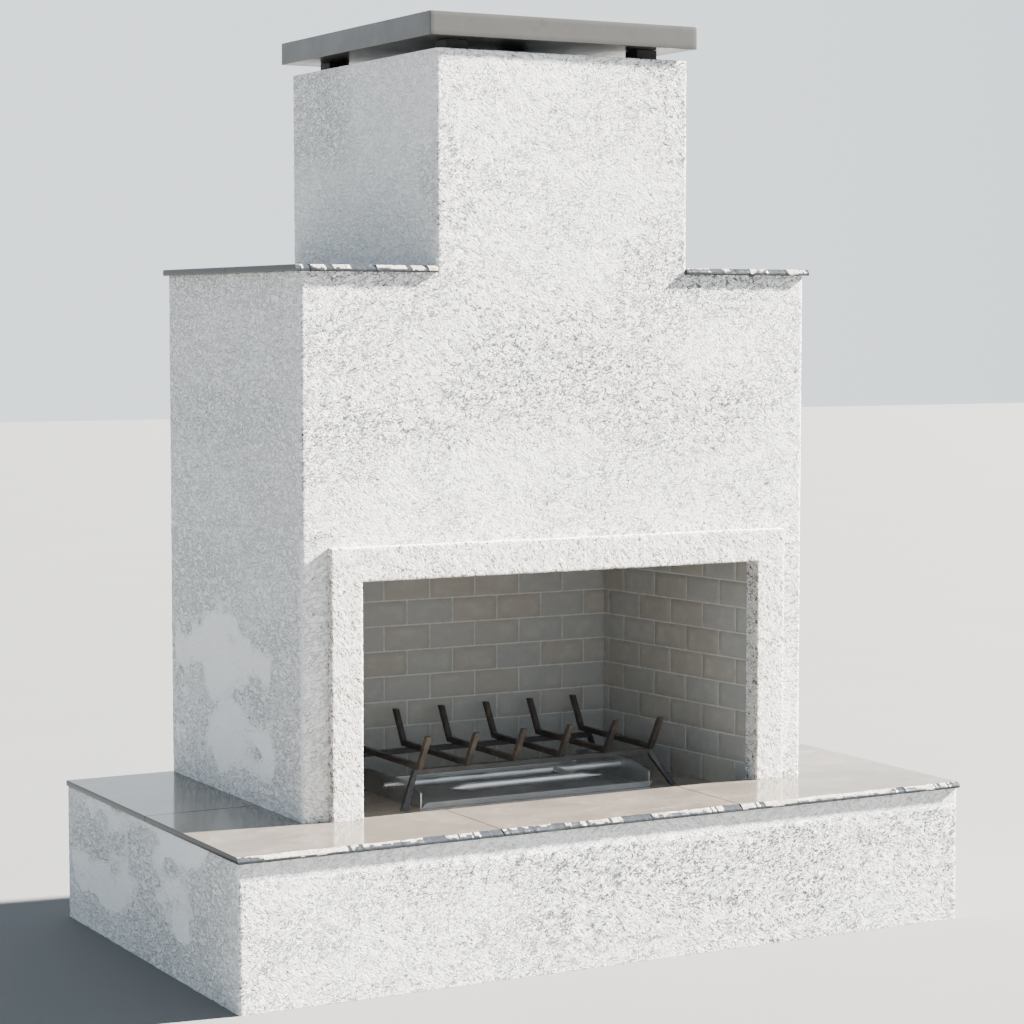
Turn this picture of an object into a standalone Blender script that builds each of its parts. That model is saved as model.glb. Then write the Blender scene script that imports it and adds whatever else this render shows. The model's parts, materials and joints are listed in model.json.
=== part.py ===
# Outdoor fireplace
# A stuccoed plinth, body and chimney stand on light steel frames. Thin stone-look tiles cover the
# hearth ledge and the shoulders. A raised surround frames the firebox, which is lined with
# brick-pattern panels and opens through a hood, a damper and a round flue under a cap slab.
# A log grate and a stainless burner pan stand loose on the firebox floor.
# Metres, +Z up, origin on the ground at the centre of the plinth, opening towards -Y.

import math

import bmesh
import bpy
from mathutils import Matrix, Vector

# Clearances
seat_gap = 0.0003
tile_joint = 0.002
corner_joint = 0.0045

# Plinth and hearth
plinth_height = 0.312
front_ledge = 0.267
side_ledge = 0.2655
wall_thickness = 0.0265
stucco_corner = 0.003
board_thickness = 0.0125
hearth_tile_thickness = 0.0137
hearth_front_overhang = 0.008
hearth_side_overhang = 0.004
tile_corner = 0.0012

# Body and chimney
jamb_width = 0.135
rear_space = 0.179
shoulder_height = 1.5155
shoulder_tile_thickness = 0.0145
shoulder_side_overhang = 0.014
shoulder_front_overhang = 0.008
chimney_width = 0.644
chimney_height = 2.0036
cap_gap = 0.0257
cap_thickness = 0.052
cap_front_overhang = 0.010
cap_overhang = 0.021
cap_corner = 0.0015
cap_post_width = 0.053
cap_post_inset = 0.050
chase_cover_thickness = 0.020

# Surround and opening
opening_width = 1.028
opening_top = 0.8455
surround_width = 0.0755
surround_proud = 0.0186

# Firebox
floor_drop = 0.0285
firebox_depth = 0.585
firebox_splay = 0.060
liner_thickness = 0.030
brick_length = 0.125
course_height = 0.0617
lining_overlap = 0.050
mortar_width = 0.003
mortar_depth = 0.0012
back_joint_offset = 0.0185
side_joint_offset = 0.0197
shell_thickness = 0.002
slab_thickness = 0.040
slab_side_margin = 0.010
slab_back_margin = 0.012

# Hood, damper and flue
hood_height = 0.386
hood_top_width = 0.350
flue_radius = 0.150
flue_wall = 0.003
flue_sides = 32
collar_height = 0.100
collar_flange = 0.003
flue_overlap = 0.040
flue_hole_clearance = 0.0015
damper_axis_height = 0.035
damper_clearance = 0.004
damper_plate = 0.003
damper_shaft_radius = 0.006
damper_shaft_clearance = 0.0005
damper_stop_radius = 0.010
damper_stop_length = 0.005
damper_lever_reach = 0.200
damper_lever_width = 0.008
damper_lever_place = 0.060
damper_hub_width = 0.022
damper_lever_angle = math.radians(35)
shaft_sides = 16

# Steel frames
frame_bar = 0.040
light_frame_bar = 0.030
header_rise = 0.2052

# Log grate
grate_x = 0.033
grate_front = 0.1805
grate_rear_space = 0.0758
grate_side_space = 0.2035
grate_bar = 0.0127
grate_bar_count = 6
grate_clear_height = 0.087
grate_tip_rise = 0.0838
grate_tip_lean = 0.0455
grate_frame_overhang = 0.001
grate_front_frame_setback = 0.016
grate_rear_frame_setback = 0.030
grate_leg_splay = 0.042
grate_leg_lean = 0.035

# Burner pan and tubes
pan_x = 0.0242
pan_front = 0.1640
pan_rear_space = 0.0725
pan_side_space = 0.207
pan_wall_height = 0.053
pan_end_height = 0.037
pan_chamfer_length = 0.077
pan_thickness = 0.0025
pan_lip_height = 0.0125
pan_lip_mitre_length = 0.016
pan_lip_tail_length = 0.009
tube_radius = 0.0095
tube_wall = 0.0015
tube_sides = 16
tube_height = 0.0352
rear_tube_setback = 0.137
front_tube_setback = 0.032
front_tube_margin = 0.104
front_tube_shift = -0.015
pinch_length = 0.044
pinch_flat = 0.007
pinch_height = 0.003
pinch_width = 0.024
crossover_margin = 0.067
crossover_radius = 0.0085
nipple_radius = 0.007
nipple_wall = 0.0015
nipple_reach = 0.028
nipple_insert = 0.018
nipple_clearance = 0.0005
port_radius = 0.0012
port_pitch = 0.032

# Places that follow from the sizes above
body_width = opening_width + 2 * jamb_width
plinth_width = body_width + 2 * side_ledge
plinth_depth = front_ledge + firebox_depth + rear_space
plinth_left = -plinth_width / 2
plinth_right = plinth_width / 2
plinth_front = -plinth_depth / 2
plinth_back = plinth_depth / 2
inner_front = plinth_front + wall_thickness
inner_back = plinth_back - wall_thickness
hearth_top = plinth_height + seat_gap + hearth_tile_thickness
floor_top = hearth_top - floor_drop
body_front = plinth_front + front_ledge
body_half = body_width / 2
body_inner_half = body_half - wall_thickness
body_inner_front = body_front + wall_thickness
chimney_half = chimney_width / 2
chimney_inner_half = chimney_half - wall_thickness
shoulder_top = shoulder_height + seat_gap + shoulder_tile_thickness
opening_half = opening_width / 2
surround_front = body_front - surround_proud
surround_top = opening_top + surround_width
firebox_back = body_front + firebox_depth
firebox_back_half = opening_half - firebox_splay
liner_front = body_inner_front + seat_gap
slab_top = floor_top - hearth_tile_thickness - seat_gap
slab_half = opening_half + liner_thickness + shell_thickness + slab_side_margin
slab_back = firebox_back + liner_thickness + shell_thickness + slab_back_margin
course_count = math.ceil((opening_top + lining_overlap - floor_top) / course_height)
liner_height = course_height * course_count
liner_base = slab_top + seat_gap
hood_base = floor_top + liner_height + seat_gap
hood_top = hood_base + hood_height
flue_y = (body_front + plinth_back) / 2
collar_base = hood_top + seat_gap
damper_z = collar_base + damper_axis_height
pipe_radius = flue_radius + flue_wall + seat_gap
pipe_base = collar_base + collar_height - flue_overlap
cap_base = chimney_height + cap_gap
post_centre = chimney_half - cap_post_inset - cap_post_width / 2
header_height = hood_base + header_rise
grate_length = firebox_depth - grate_front - grate_rear_space
grate_bar_pitch = (opening_width - 2 * grate_side_space) / (grate_bar_count - 1)
pan_width = opening_width - 2 * pan_side_space
pan_depth = firebox_depth - pan_front - pan_rear_space
front_tube_length = pan_width - 2 * front_tube_margin
crossover_shift = front_tube_shift + front_tube_length / 2 - crossover_margin

# Colour, roughness and metallic value of each finish
finishes = {
    "stucco": ((0.83, 0.81, 0.77), 0.92, 0.0),
    "surround_stucco": ((0.86, 0.82, 0.74), 0.92, 0.0),
    "stone_tile": ((0.56, 0.49, 0.41), 0.30, 0.0),
    "cement_board": ((0.45, 0.45, 0.43), 0.95, 0.0),
    "concrete": ((0.42, 0.40, 0.36), 0.85, 0.0),
    "fire_brick": ((0.28, 0.27, 0.25), 0.80, 0.0),
    "galvanised": ((0.55, 0.57, 0.58), 0.45, 0.9),
    "black_steel": ((0.05, 0.045, 0.04), 0.60, 0.8),
    "stainless": ((0.70, 0.70, 0.69), 0.22, 1.0),
}


# Shared helpers

def clear_scene():
    for item in list(bpy.data.objects):
        bpy.data.objects.remove(item, do_unlink=True)


def give_finish(item, finish):
    colour, roughness, metallic = finishes[finish]
    material = bpy.data.materials.new(item.name + "_" + finish)
    material.use_nodes = True
    shader = material.node_tree.nodes["Principled BSDF"]
    shader.inputs["Base Color"].default_value = (*colour, 1.0)
    shader.inputs["Roughness"].default_value = roughness
    shader.inputs["Metallic"].default_value = metallic
    material.diffuse_color = (*colour, 1.0)
    item.data.materials.append(material)


def finish_object(name, shape, finish, place=(0, 0, 0), parent=None):
    bmesh.ops.recalc_face_normals(shape, faces=shape.faces)
    mesh = bpy.data.meshes.new(name)
    shape.to_mesh(mesh)
    shape.free()
    item = bpy.data.objects.new(name, mesh)
    item.location = place
    item.parent = parent
    bpy.context.scene.collection.objects.link(item)
    if finish:
        give_finish(item, finish)
    return item


def add_pivot(name, place):
    pivot = bpy.data.objects.new(name, None)
    pivot.location = place
    bpy.context.scene.collection.objects.link(pivot)
    return pivot


def soften(shape, width, face_y=None):
    # chamfers the outer corners, or only those of the face that lies at face_y
    bmesh.ops.recalc_face_normals(shape, faces=shape.faces)
    near = width / 2
    edges = []
    for edge in shape.edges:
        if edge.calc_face_angle_signed() < math.radians(30):
            continue
        if face_y is None or all(abs(spot.co.y - face_y) < near for spot in edge.verts):
            edges.append(edge)
    bmesh.ops.bevel(shape, geom=edges, offset=width, segments=1, profile=0.5,
                    affect="EDGES", clamp_overlap=True)


def block_shape(shape, low, high):
    size = Vector(high) - Vector(low)
    centre = (Vector(high) + Vector(low)) / 2
    matrix = Matrix.Translation(centre) @ Matrix.Diagonal((*size, 1))
    bmesh.ops.create_cube(shape, size=1, matrix=matrix)


def add_block(name, low, high, finish, edge=0, face_y=None, parent=None):
    centre = (Vector(high) + Vector(low)) / 2
    shape = bmesh.new()
    block_shape(shape, Vector(low) - centre, Vector(high) - centre)
    if edge:
        soften(shape, edge, None if face_y is None else face_y - centre.y)
    return finish_object(name, shape, finish, centre, parent)


def add_welded(name, bars, finish):
    # square bars that run into each other, welded into one frame
    shape = bmesh.new()
    block_shape(shape, *bars[0])
    frame = finish_object(name, shape, finish)
    shape = bmesh.new()
    for low, high in bars[1:]:
        block_shape(shape, low, high)
    weld = combine(frame, make_tool(name + "_bars", shape), "UNION")
    weld.use_self = True


def prism_shape(shape, outline, axis, low, high):
    # outline lies in the plane across the axis: XY for Z, XZ for Y, YZ for X
    lift = {"X": Vector((1, 0, 0)), "Y": Vector((0, 1, 0)), "Z": Vector((0, 0, 1))}[axis]
    corners = []
    for first, second in outline:
        if axis == "Z":
            corners.append(shape.verts.new((first, second, low)))
        elif axis == "Y":
            corners.append(shape.verts.new((first, low, second)))
        else:
            corners.append(shape.verts.new((low, first, second)))
    face = shape.faces.new(corners)
    grown = bmesh.ops.extrude_face_region(shape, geom=[face])["geom"]
    moved = [part for part in grown if isinstance(part, bmesh.types.BMVert)]
    bmesh.ops.translate(shape, verts=moved, vec=lift * (high - low))


def add_prism(name, outline, axis, low, high, finish, edge=0, face_y=None, parent=None):
    shape = bmesh.new()
    prism_shape(shape, outline, axis, low, high)
    if edge:
        soften(shape, edge, face_y)
    return finish_object(name, shape, finish, parent=parent)


def skin_shape(shape, loops):
    # faces between loops of equal length, capped at both ends
    rows = [[shape.verts.new(point) for point in loop] for loop in loops]
    shape.faces.new(list(reversed(rows[0])))
    shape.faces.new(rows[-1])
    count = len(rows[0])
    for lower, upper in zip(rows, rows[1:]):
        for index in range(count):
            after = (index + 1) % count
            shape.faces.new((lower[index], lower[after], upper[after], upper[index]))


def add_skin(name, loops, finish, parent=None, smooth=False):
    shape = bmesh.new()
    skin_shape(shape, loops)
    item = finish_object(name, shape, finish, parent=parent)
    if smooth:
        shade_round(item)
    return item


def shade_round(item):
    item.data.shade_smooth()
    item.data.set_sharp_from_angle(angle=math.radians(40))


def add_turned(name, profile, sides, axis, finish, place=(0, 0, 0), parent=None):
    # profile is a closed run of (radius, position along the axis)
    shape = bmesh.new()
    points = [shape.verts.new((radius, 0, along)) for radius, along in profile]
    edges = [shape.edges.new(pair) for pair in zip(points, points[1:] + points[:1])]
    bmesh.ops.spin(shape, geom=points + edges, cent=(0, 0, 0), axis=(0, 0, 1),
                   angle=math.tau, steps=sides, use_merge=True)
    turn = {"X": Matrix.Rotation(math.pi / 2, 4, "Y"), "Z": Matrix.Identity(4)}[axis]
    bmesh.ops.transform(shape, matrix=turn, verts=shape.verts)
    item = finish_object(name, shape, finish, place, parent)
    shade_round(item)
    return item


def tube_profile(outer, inner, low, high):
    return [(inner, low), (outer, low), (outer, high), (inner, high)]


def ring_points(radius, sides):
    turn = math.tau / sides
    return [(radius * math.cos(turn * step), radius * math.sin(turn * step))
            for step in range(sides)]


def rod_shape(shape, radius, sides, start, end):
    # a solid rod between two points
    start = Vector(start)
    reach = Vector(end) - start
    across = reach.to_track_quat("Z", "Y")
    loops = []
    for centre in (start, start + reach):
        loops.append([centre + across @ Vector((first, second, 0))
                      for first, second in ring_points(radius, sides)])
    skin_shape(shape, loops)


def make_tool(name, shape, parent=None):
    tool = finish_object(name, shape, None, parent=parent)
    tool.hide_render = True
    tool.display_type = "WIRE"
    return tool


def combine(item, tool, operation):
    change = item.modifiers.new(tool.name, "BOOLEAN")
    change.object = tool
    change.operation = operation
    return change


def rod_tool(name, radius, sides, start, end, parent=None):
    shape = bmesh.new()
    rod_shape(shape, radius, sides, start, end)
    return make_tool(name, shape, parent)


def offset_path(path, distance):
    # moves an open plan outline to its left by a distance, with mitred corners
    lines = []
    for first, second in zip(path, path[1:]):
        along = (Vector(second) - Vector(first)).normalized()
        left = Vector((-along.y, along.x)) * distance
        lines.append((Vector(first) + left, along))
    moved = [lines[0][0]]
    for (point, along), (other, across) in zip(lines, lines[1:]):
        spread = along.x * across.y - along.y * across.x
        step = ((other.x - point.x) * across.y - (other.y - point.y) * across.x) / spread
        moved.append(point + along * step)
    last_along = lines[-1][1]
    last_length = (Vector(path[-1]) - Vector(path[-2])).length
    moved.append(lines[-1][0] + last_along * last_length)
    return moved


# Plinth

def build_plinth():
    side_front = inner_front + seat_gap
    side_back = inner_back - seat_gap
    add_block("plinth_front_panel", (plinth_left, plinth_front, 0),
              (plinth_right, inner_front, plinth_height), "stucco", stucco_corner, plinth_front)
    add_block("plinth_back_panel", (plinth_left, inner_back, 0),
              (plinth_right, plinth_back, plinth_height), "stucco", stucco_corner, plinth_back)
    add_block("plinth_left_panel", (plinth_left, side_front, 0),
              (plinth_left + wall_thickness, side_back, plinth_height), "stucco")
    add_block("plinth_right_panel", (plinth_right - wall_thickness, side_front, 0),
              (plinth_right, side_back, plinth_height), "stucco")


def corner_posts(half, front, back, low, high, width):
    posts = []
    for side in (-1, 1):
        outer, inner = side * half, side * (half - width)
        low_x, high_x = min(outer, inner), max(outer, inner)
        posts.append(((low_x, front, low), (high_x, front + width, high)))
        posts.append(((low_x, back - width, low), (high_x, back, high)))
    return posts


def ring_rails(half, front, back, low, high, width):
    return [
        ((-half, front, low), (half, front + width, high)),
        ((-half, back - width, low), (half, back, high)),
        ((-half, front, low), (-half + width, back, high)),
        ((half - width, front, low), (half, back, high)),
    ]


def build_base_frame():
    half = plinth_width / 2 - wall_thickness - seat_gap
    front = inner_front + seat_gap
    back = inner_back - seat_gap
    top = plinth_height - board_thickness - seat_gap
    bars = ring_rails(half, front, back, 0, frame_bar, frame_bar)
    bars += ring_rails(half, front, back, top - frame_bar, top, frame_bar)
    bars += corner_posts(half, front, back, 0, top, frame_bar)
    # cross rails, and two sleepers on short posts that carry the firebox slab
    reach = frame_bar / 2
    sleeper_top = slab_top - slab_thickness - seat_gap
    for place_x in (-slab_half + reach, 0, slab_half - reach):
        bars.append(((place_x - reach, front, 0), (place_x + reach, back, frame_bar)))
        for place_y in (body_inner_front + frame_bar, slab_back - frame_bar):
            bars.append(((place_x - reach, place_y - reach, 0),
                         (place_x + reach, place_y + reach, sleeper_top)))
    for place_y in (body_inner_front + frame_bar, slab_back - frame_bar):
        bars.append(((-slab_half, place_y - reach, sleeper_top - frame_bar),
                     (slab_half, place_y + reach, sleeper_top)))
    add_welded("base_frame", bars, "galvanised")


def build_hearth():
    half = plinth_width / 2 - wall_thickness - seat_gap
    deck_low = plinth_height - board_thickness
    deck = add_block("hearth_deck", (-half, inner_front + seat_gap, deck_low),
                     (half, inner_back - seat_gap, plinth_height), "cement_board")
    well_x = slab_half + seat_gap
    shape = bmesh.new()
    block_shape(shape, (-well_x, body_front, deck_low - board_thickness),
                (well_x, slab_back + seat_gap, plinth_height + board_thickness))
    combine(deck, make_tool("hearth_deck_well", shape), "DIFFERENCE")

    low = plinth_height + seat_gap
    third = plinth_width / 6
    edge_x = plinth_width / 2 + hearth_side_overhang
    edge_y = plinth_front - hearth_front_overhang
    joint = tile_joint / 2
    beside_body = body_half + seat_gap
    before_body = body_front - seat_gap
    add_block("hearth_tile_front_middle", (joint - third, edge_y, low),
              (third - joint, before_body, hearth_top), "stone_tile", tile_corner)
    for side, word in ((-1, "left"), (1, "right")):
        corner_tile = [
            (side * edge_x, edge_y),
            (side * (third + joint), edge_y),
            (side * (third + joint), before_body),
            (side * beside_body, before_body),
            (side * beside_body, -joint),
            (side * edge_x, -joint),
        ]
        add_prism("hearth_tile_front_" + word, corner_tile, "Z", low, hearth_top,
                  "stone_tile", tile_corner)
        near = min(side * beside_body, side * edge_x)
        far = max(side * beside_body, side * edge_x)
        add_block("hearth_tile_rear_" + word, (near, joint, low),
                  (far, plinth_back, hearth_top), "stone_tile", tile_corner)


# Body and chimney

def tall_outline(base, foot=None):
    # body below the shoulders and chimney above them, seen from the front
    outline = [(-body_half, base)]
    if foot:
        outline += foot
    outline += [
        (body_half, base),
        (body_half, shoulder_height),
        (chimney_half, shoulder_height),
        (chimney_half, chimney_height),
        (-chimney_half, chimney_height),
        (-chimney_half, shoulder_height),
        (-body_half, shoulder_height),
    ]
    return outline


def build_walls():
    base = plinth_height + seat_gap
    foot_x = slab_half - seat_gap
    foot_z = slab_top + seat_gap
    doorway = [
        (-foot_x, base),
        (-foot_x, foot_z),
        (-opening_half, foot_z),
        (-opening_half, opening_top),
        (opening_half, opening_top),
        (opening_half, foot_z),
        (foot_x, foot_z),
        (foot_x, base),
    ]
    front = body_front + seat_gap
    add_prism("front_panel", tall_outline(base, doorway), "Y", front, body_inner_front,
              "stucco", stucco_corner, front)
    add_prism("back_panel", tall_outline(base), "Y", inner_back, plinth_back,
              "stucco", stucco_corner, plinth_back)
    side_front = body_inner_front + seat_gap
    side_back = inner_back - seat_gap
    for side, word in ((-1, "left"), (1, "right")):
        outer, inner = side * body_half, side * body_inner_half
        add_block("body_" + word + "_panel", (min(outer, inner), side_front, base),
                  (max(outer, inner), side_back, shoulder_height), "stucco")
        outer, inner = side * chimney_half, side * chimney_inner_half
        add_block("chimney_" + word + "_panel",
                  (min(outer, inner), side_front, shoulder_height + seat_gap),
                  (max(outer, inner), side_back, chimney_height), "stucco")


def build_shoulders():
    board_low = shoulder_height - board_thickness
    low = shoulder_height + seat_gap
    middle = (body_front + plinth_back) / 2
    near_y = body_front - shoulder_front_overhang
    joint = tile_joint / 2
    for side, word in ((-1, "left"), (1, "right")):
        wall_x = side * (body_inner_half - seat_gap)
        shaft_x = side * chimney_inner_half
        add_block("shoulder_deck_" + word,
                  (min(wall_x, shaft_x), body_inner_front + seat_gap, board_low),
                  (max(wall_x, shaft_x), inner_back - seat_gap, shoulder_height), "cement_board")
        edge_x = side * (body_half + shoulder_side_overhang)
        stop_x = side * (chimney_half + seat_gap)
        add_block("shoulder_tile_front_" + word, (min(edge_x, stop_x), near_y, low),
                  (max(edge_x, stop_x), middle - joint, shoulder_top), "stone_tile", tile_corner)
        add_block("shoulder_tile_rear_" + word, (min(edge_x, stop_x), middle + joint, low),
                  (max(edge_x, stop_x), plinth_back, shoulder_top), "stone_tile", tile_corner)


def build_body_frame():
    half = body_inner_half - seat_gap
    front = body_inner_front + seat_gap
    back = inner_back - seat_gap
    rail_top = shoulder_height - board_thickness - seat_gap
    rail_low = rail_top - frame_bar
    bars = ring_rails(half, front, back, rail_low, rail_top, frame_bar)
    bars += corner_posts(half, front, back, plinth_height + seat_gap, rail_top, frame_bar)
    # rails under the chimney sides, and a header behind the front panel
    reach = frame_bar / 2
    for place_x in (-chimney_inner_half, chimney_inner_half):
        bars.append(((place_x - reach, front, rail_low), (place_x + reach, back, rail_top)))
    bars.append(((-half, front, header_height - reach), (half, front + frame_bar,
                                                         header_height + reach)))
    add_welded("body_frame", bars, "galvanised")


def build_chimney_frame():
    half = chimney_inner_half - seat_gap
    front = body_inner_front + seat_gap
    back = inner_back - seat_gap
    rail_top = chimney_height - chase_cover_thickness - seat_gap
    rail_low = rail_top - light_frame_bar
    bars = ring_rails(half, front, back, rail_low, rail_top, light_frame_bar)
    bars += corner_posts(half, front, back, shoulder_height - board_thickness, rail_top,
                         light_frame_bar)
    add_welded("chimney_frame", bars, "galvanised")


def build_cap():
    half = chimney_inner_half - seat_gap
    cover = add_block("chase_cover",
                      (-half, body_inner_front + seat_gap, chimney_height - chase_cover_thickness),
                      (half, inner_back - seat_gap, chimney_height), "concrete")
    hole_radius = pipe_radius + flue_wall + flue_hole_clearance
    reach = chase_cover_thickness
    hole = rod_tool("chase_cover_hole", hole_radius, flue_sides,
                    (0, flue_y, chimney_height - 2 * reach), (0, flue_y, chimney_height + reach))
    combine(cover, hole, "DIFFERENCE")
    low = chimney_height + seat_gap
    high = cap_base - seat_gap
    rows = (body_front + cap_post_inset + cap_post_width / 2,
            plinth_back - cap_post_inset - cap_post_width / 2)
    reach = cap_post_width / 2
    for place_y, depth_word in zip(rows, ("front", "rear")):
        for side, word in ((-1, "left"), (1, "right")):
            place_x = side * post_centre
            add_block("cap_post_" + depth_word + "_" + word,
                      (place_x - reach, place_y - reach, low),
                      (place_x + reach, place_y + reach, high), "black_steel")
    slab_half_width = chimney_half + cap_overhang
    add_block("cap_slab", (-slab_half_width, body_front - cap_front_overhang, cap_base),
              (slab_half_width, plinth_back + cap_overhang, cap_base + cap_thickness),
              "concrete", cap_corner)


def build_surround():
    low = hearth_top + seat_gap
    outer = opening_half + surround_width
    outline = [
        (-outer, low),
        (-opening_half, low),
        (-opening_half, opening_top),
        (opening_half, opening_top),
        (opening_half, low),
        (outer, low),
        (outer, surround_top),
        (-outer, surround_top),
    ]
    add_prism("surround", outline, "Y", surround_front, body_front, "surround_stucco",
              stucco_corner, surround_front)


# Firebox

def joint_places(length, first):
    # joints of one course, measured along the panel
    start = first % brick_length
    count = int((length - start) / brick_length) + 1
    places = [start + brick_length * step for step in range(count)]
    shortest = mortar_width * 2
    return [place for place in places if shortest < place < length - shortest]


def course_level(level):
    # the lowest course runs on down behind the floor tiles to the slab
    return floor_top - liner_base + course_height * level if level else 0


def brick_panel(name, length, first_joint, place, turn):
    # local X runs along the panel, the brick face looks towards local -Y
    shape = bmesh.new()
    courses = []
    for course in range(course_count):
        shift = first_joint if course % 2 == 0 else first_joint + brick_length / 2
        courses.append([0] + joint_places(length, shift) + [length])
    grid = {}

    def corner(along, level):
        key = (round(along / mortar_depth), level)
        if key not in grid:
            grid[key] = shape.verts.new((along, mortar_depth, course_level(level)))
        return grid[key]

    faces = []
    for course, joints in enumerate(courses):
        below = courses[course - 1] if course else []
        above = courses[course + 1] if course + 1 < course_count else []
        for start, end in zip(joints, joints[1:]):
            lower = [start] + [spot for spot in below if start < spot < end] + [end]
            upper = [start] + [spot for spot in above if start < spot < end] + [end]
            outline = [corner(spot, course) for spot in lower]
            outline += [corner(spot, course + 1) for spot in reversed(upper)]
            faces.append(shape.faces.new(outline))
    grown = bmesh.ops.extrude_face_region(shape, geom=faces, use_keep_orig=True)["geom"]
    moved = [part for part in grown if isinstance(part, bmesh.types.BMVert)]
    bmesh.ops.translate(shape, verts=moved, vec=(0, liner_thickness - mortar_depth, 0))
    back = [part for part in grown if isinstance(part, bmesh.types.BMFace)]
    bmesh.ops.dissolve_faces(shape, faces=back)
    bmesh.ops.recalc_face_normals(shape, faces=shape.faces)
    bmesh.ops.inset_individual(shape, faces=faces, thickness=mortar_width / 2,
                               depth=mortar_depth, use_even_offset=True)
    item = finish_object(name, shape, "fire_brick", place)
    item.rotation_euler = (0, 0, turn)
    return item


def build_lining():
    back_half = shell_outlines()[0][1].x - seat_gap
    corner_to_end = back_half - firebox_back_half
    brick_panel("liner_back", back_half * 2,
                corner_to_end + firebox_back_half + back_joint_offset,
                (-back_half, firebox_back, liner_base), 0)
    run = Vector((opening_half - firebox_back_half, firebox_back - liner_front))
    splay = math.atan2(run.x, run.y)
    length = run.length - corner_joint
    start = Vector((opening_half, liner_front)) - Vector((run.x, -run.y)).normalized() * length
    # the right panel starts at the rear corner and runs forward
    brick_panel("liner_right", length, side_joint_offset,
                (start.x, start.y, liner_base), splay - math.pi / 2)
    # the left panel starts at the front and runs back to its rear corner
    brick_panel("liner_left", length, length - side_joint_offset,
                (-opening_half, liner_front, liner_base), math.pi / 2 - splay)


def firebox_path():
    return [
        (opening_half, liner_front),
        (firebox_back_half, firebox_back),
        (-firebox_back_half, firebox_back),
        (-opening_half, liner_front),
    ]


def shell_outlines():
    inner = offset_path(firebox_path(), -liner_thickness - seat_gap * 2)
    outer = offset_path(firebox_path(), -liner_thickness - seat_gap * 2 - shell_thickness)
    # both ends of the sheet are cut square to the front wall
    for outline in (inner, outer):
        for index, beside in ((0, 1), (-1, -2)):
            end, before = outline[index], outline[beside]
            step = (liner_front - end.y) / (before.y - end.y)
            outline[index] = end + (before - end) * step
    return inner, outer


def build_firebox():
    slab_low = slab_top - slab_thickness
    add_block("firebox_slab", (-slab_half + seat_gap, body_front + seat_gap, slab_low),
              (slab_half - seat_gap, slab_back, slab_top), "concrete")
    inner, outer = shell_outlines()
    add_prism("firebox_shell", [*inner, *reversed(outer)], "Z", slab_top + seat_gap,
              hood_base - seat_gap, "galvanised")
    build_lining()
    edge = opening_half - seat_gap
    back_edge = firebox_back_half - seat_gap * 2
    floor_outline = [
        (-edge, body_front + seat_gap),
        (edge, body_front + seat_gap),
        (edge, liner_front),
        (back_edge, firebox_back - seat_gap),
        (-back_edge, firebox_back - seat_gap),
        (-edge, liner_front),
    ]
    add_prism("firebox_floor", floor_outline, "Z", slab_top + seat_gap, floor_top, "stone_tile")


def build_hood():
    inner, outer = shell_outlines()
    front_in = liner_front + shell_thickness
    inner = [Vector((inner[0].x, front_in)), *inner[1:-1], Vector((inner[-1].x, front_in))]
    reach = hood_top_width / 2
    top_outer = [(reach, flue_y - reach), (reach, flue_y + reach),
                 (-reach, flue_y + reach), (-reach, flue_y - reach)]
    reach = reach - shell_thickness
    top_inner = [(reach, flue_y - reach), (reach, flue_y + reach),
                 (-reach, flue_y + reach), (-reach, flue_y - reach)]
    shape = bmesh.new()
    rows = []
    for outline, level in ((outer, hood_base), (top_outer, hood_top),
                           (top_inner, hood_top), (inner, hood_base)):
        rows.append([shape.verts.new((spot[0], spot[1], level)) for spot in outline])
    low_out, high_out, high_in, low_in = rows
    count = len(outer)
    for index in range(count):
        after = (index + 1) % count
        # the side sheets twist a little, so both skins fold along the same diagonal
        for low, high in ((low_out, high_out), (low_in, high_in)):
            shape.faces.new((low[index], low[after], high[after]))
            shape.faces.new((low[index], high[after], high[index]))
        for first, second in ((low_out, low_in), (high_out, high_in)):
            shape.faces.new((first[index], first[after], second[after], second[index]))
    finish_object("smoke_hood", shape, "galvanised")


def build_flue():
    reach = hood_top_width / 2
    flange = add_block("flue_collar", (-reach, flue_y - reach, collar_base),
                       (reach, flue_y + reach, collar_base + collar_flange), "galvanised")
    overrun = collar_height
    outer = rod_tool("flue_collar_ring", flue_radius + flue_wall, flue_sides,
                     (0, flue_y - flange.location.y, collar_flange / 2),
                     (0, flue_y - flange.location.y, collar_height - collar_flange / 2), flange)
    bore = rod_tool("flue_collar_bore", flue_radius, flue_sides,
                    (0, 0, -overrun), (0, 0, collar_height + overrun), flange)
    holes = rod_tool("flue_collar_shaft_hole", damper_shaft_radius + damper_shaft_clearance,
                     shaft_sides, (-flue_radius * 2, 0, damper_axis_height - collar_flange / 2),
                     (flue_radius * 2, 0, damper_axis_height - collar_flange / 2), flange)
    combine(flange, outer, "UNION")
    combine(flange, bore, "DIFFERENCE")
    combine(flange, holes, "DIFFERENCE")
    pipe_top = chimney_height - seat_gap
    add_turned("flue_pipe",
               tube_profile(pipe_radius + flue_wall, pipe_radius, pipe_base, pipe_top),
               flue_sides, "Z", "galvanised", (0, flue_y, 0))


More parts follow.
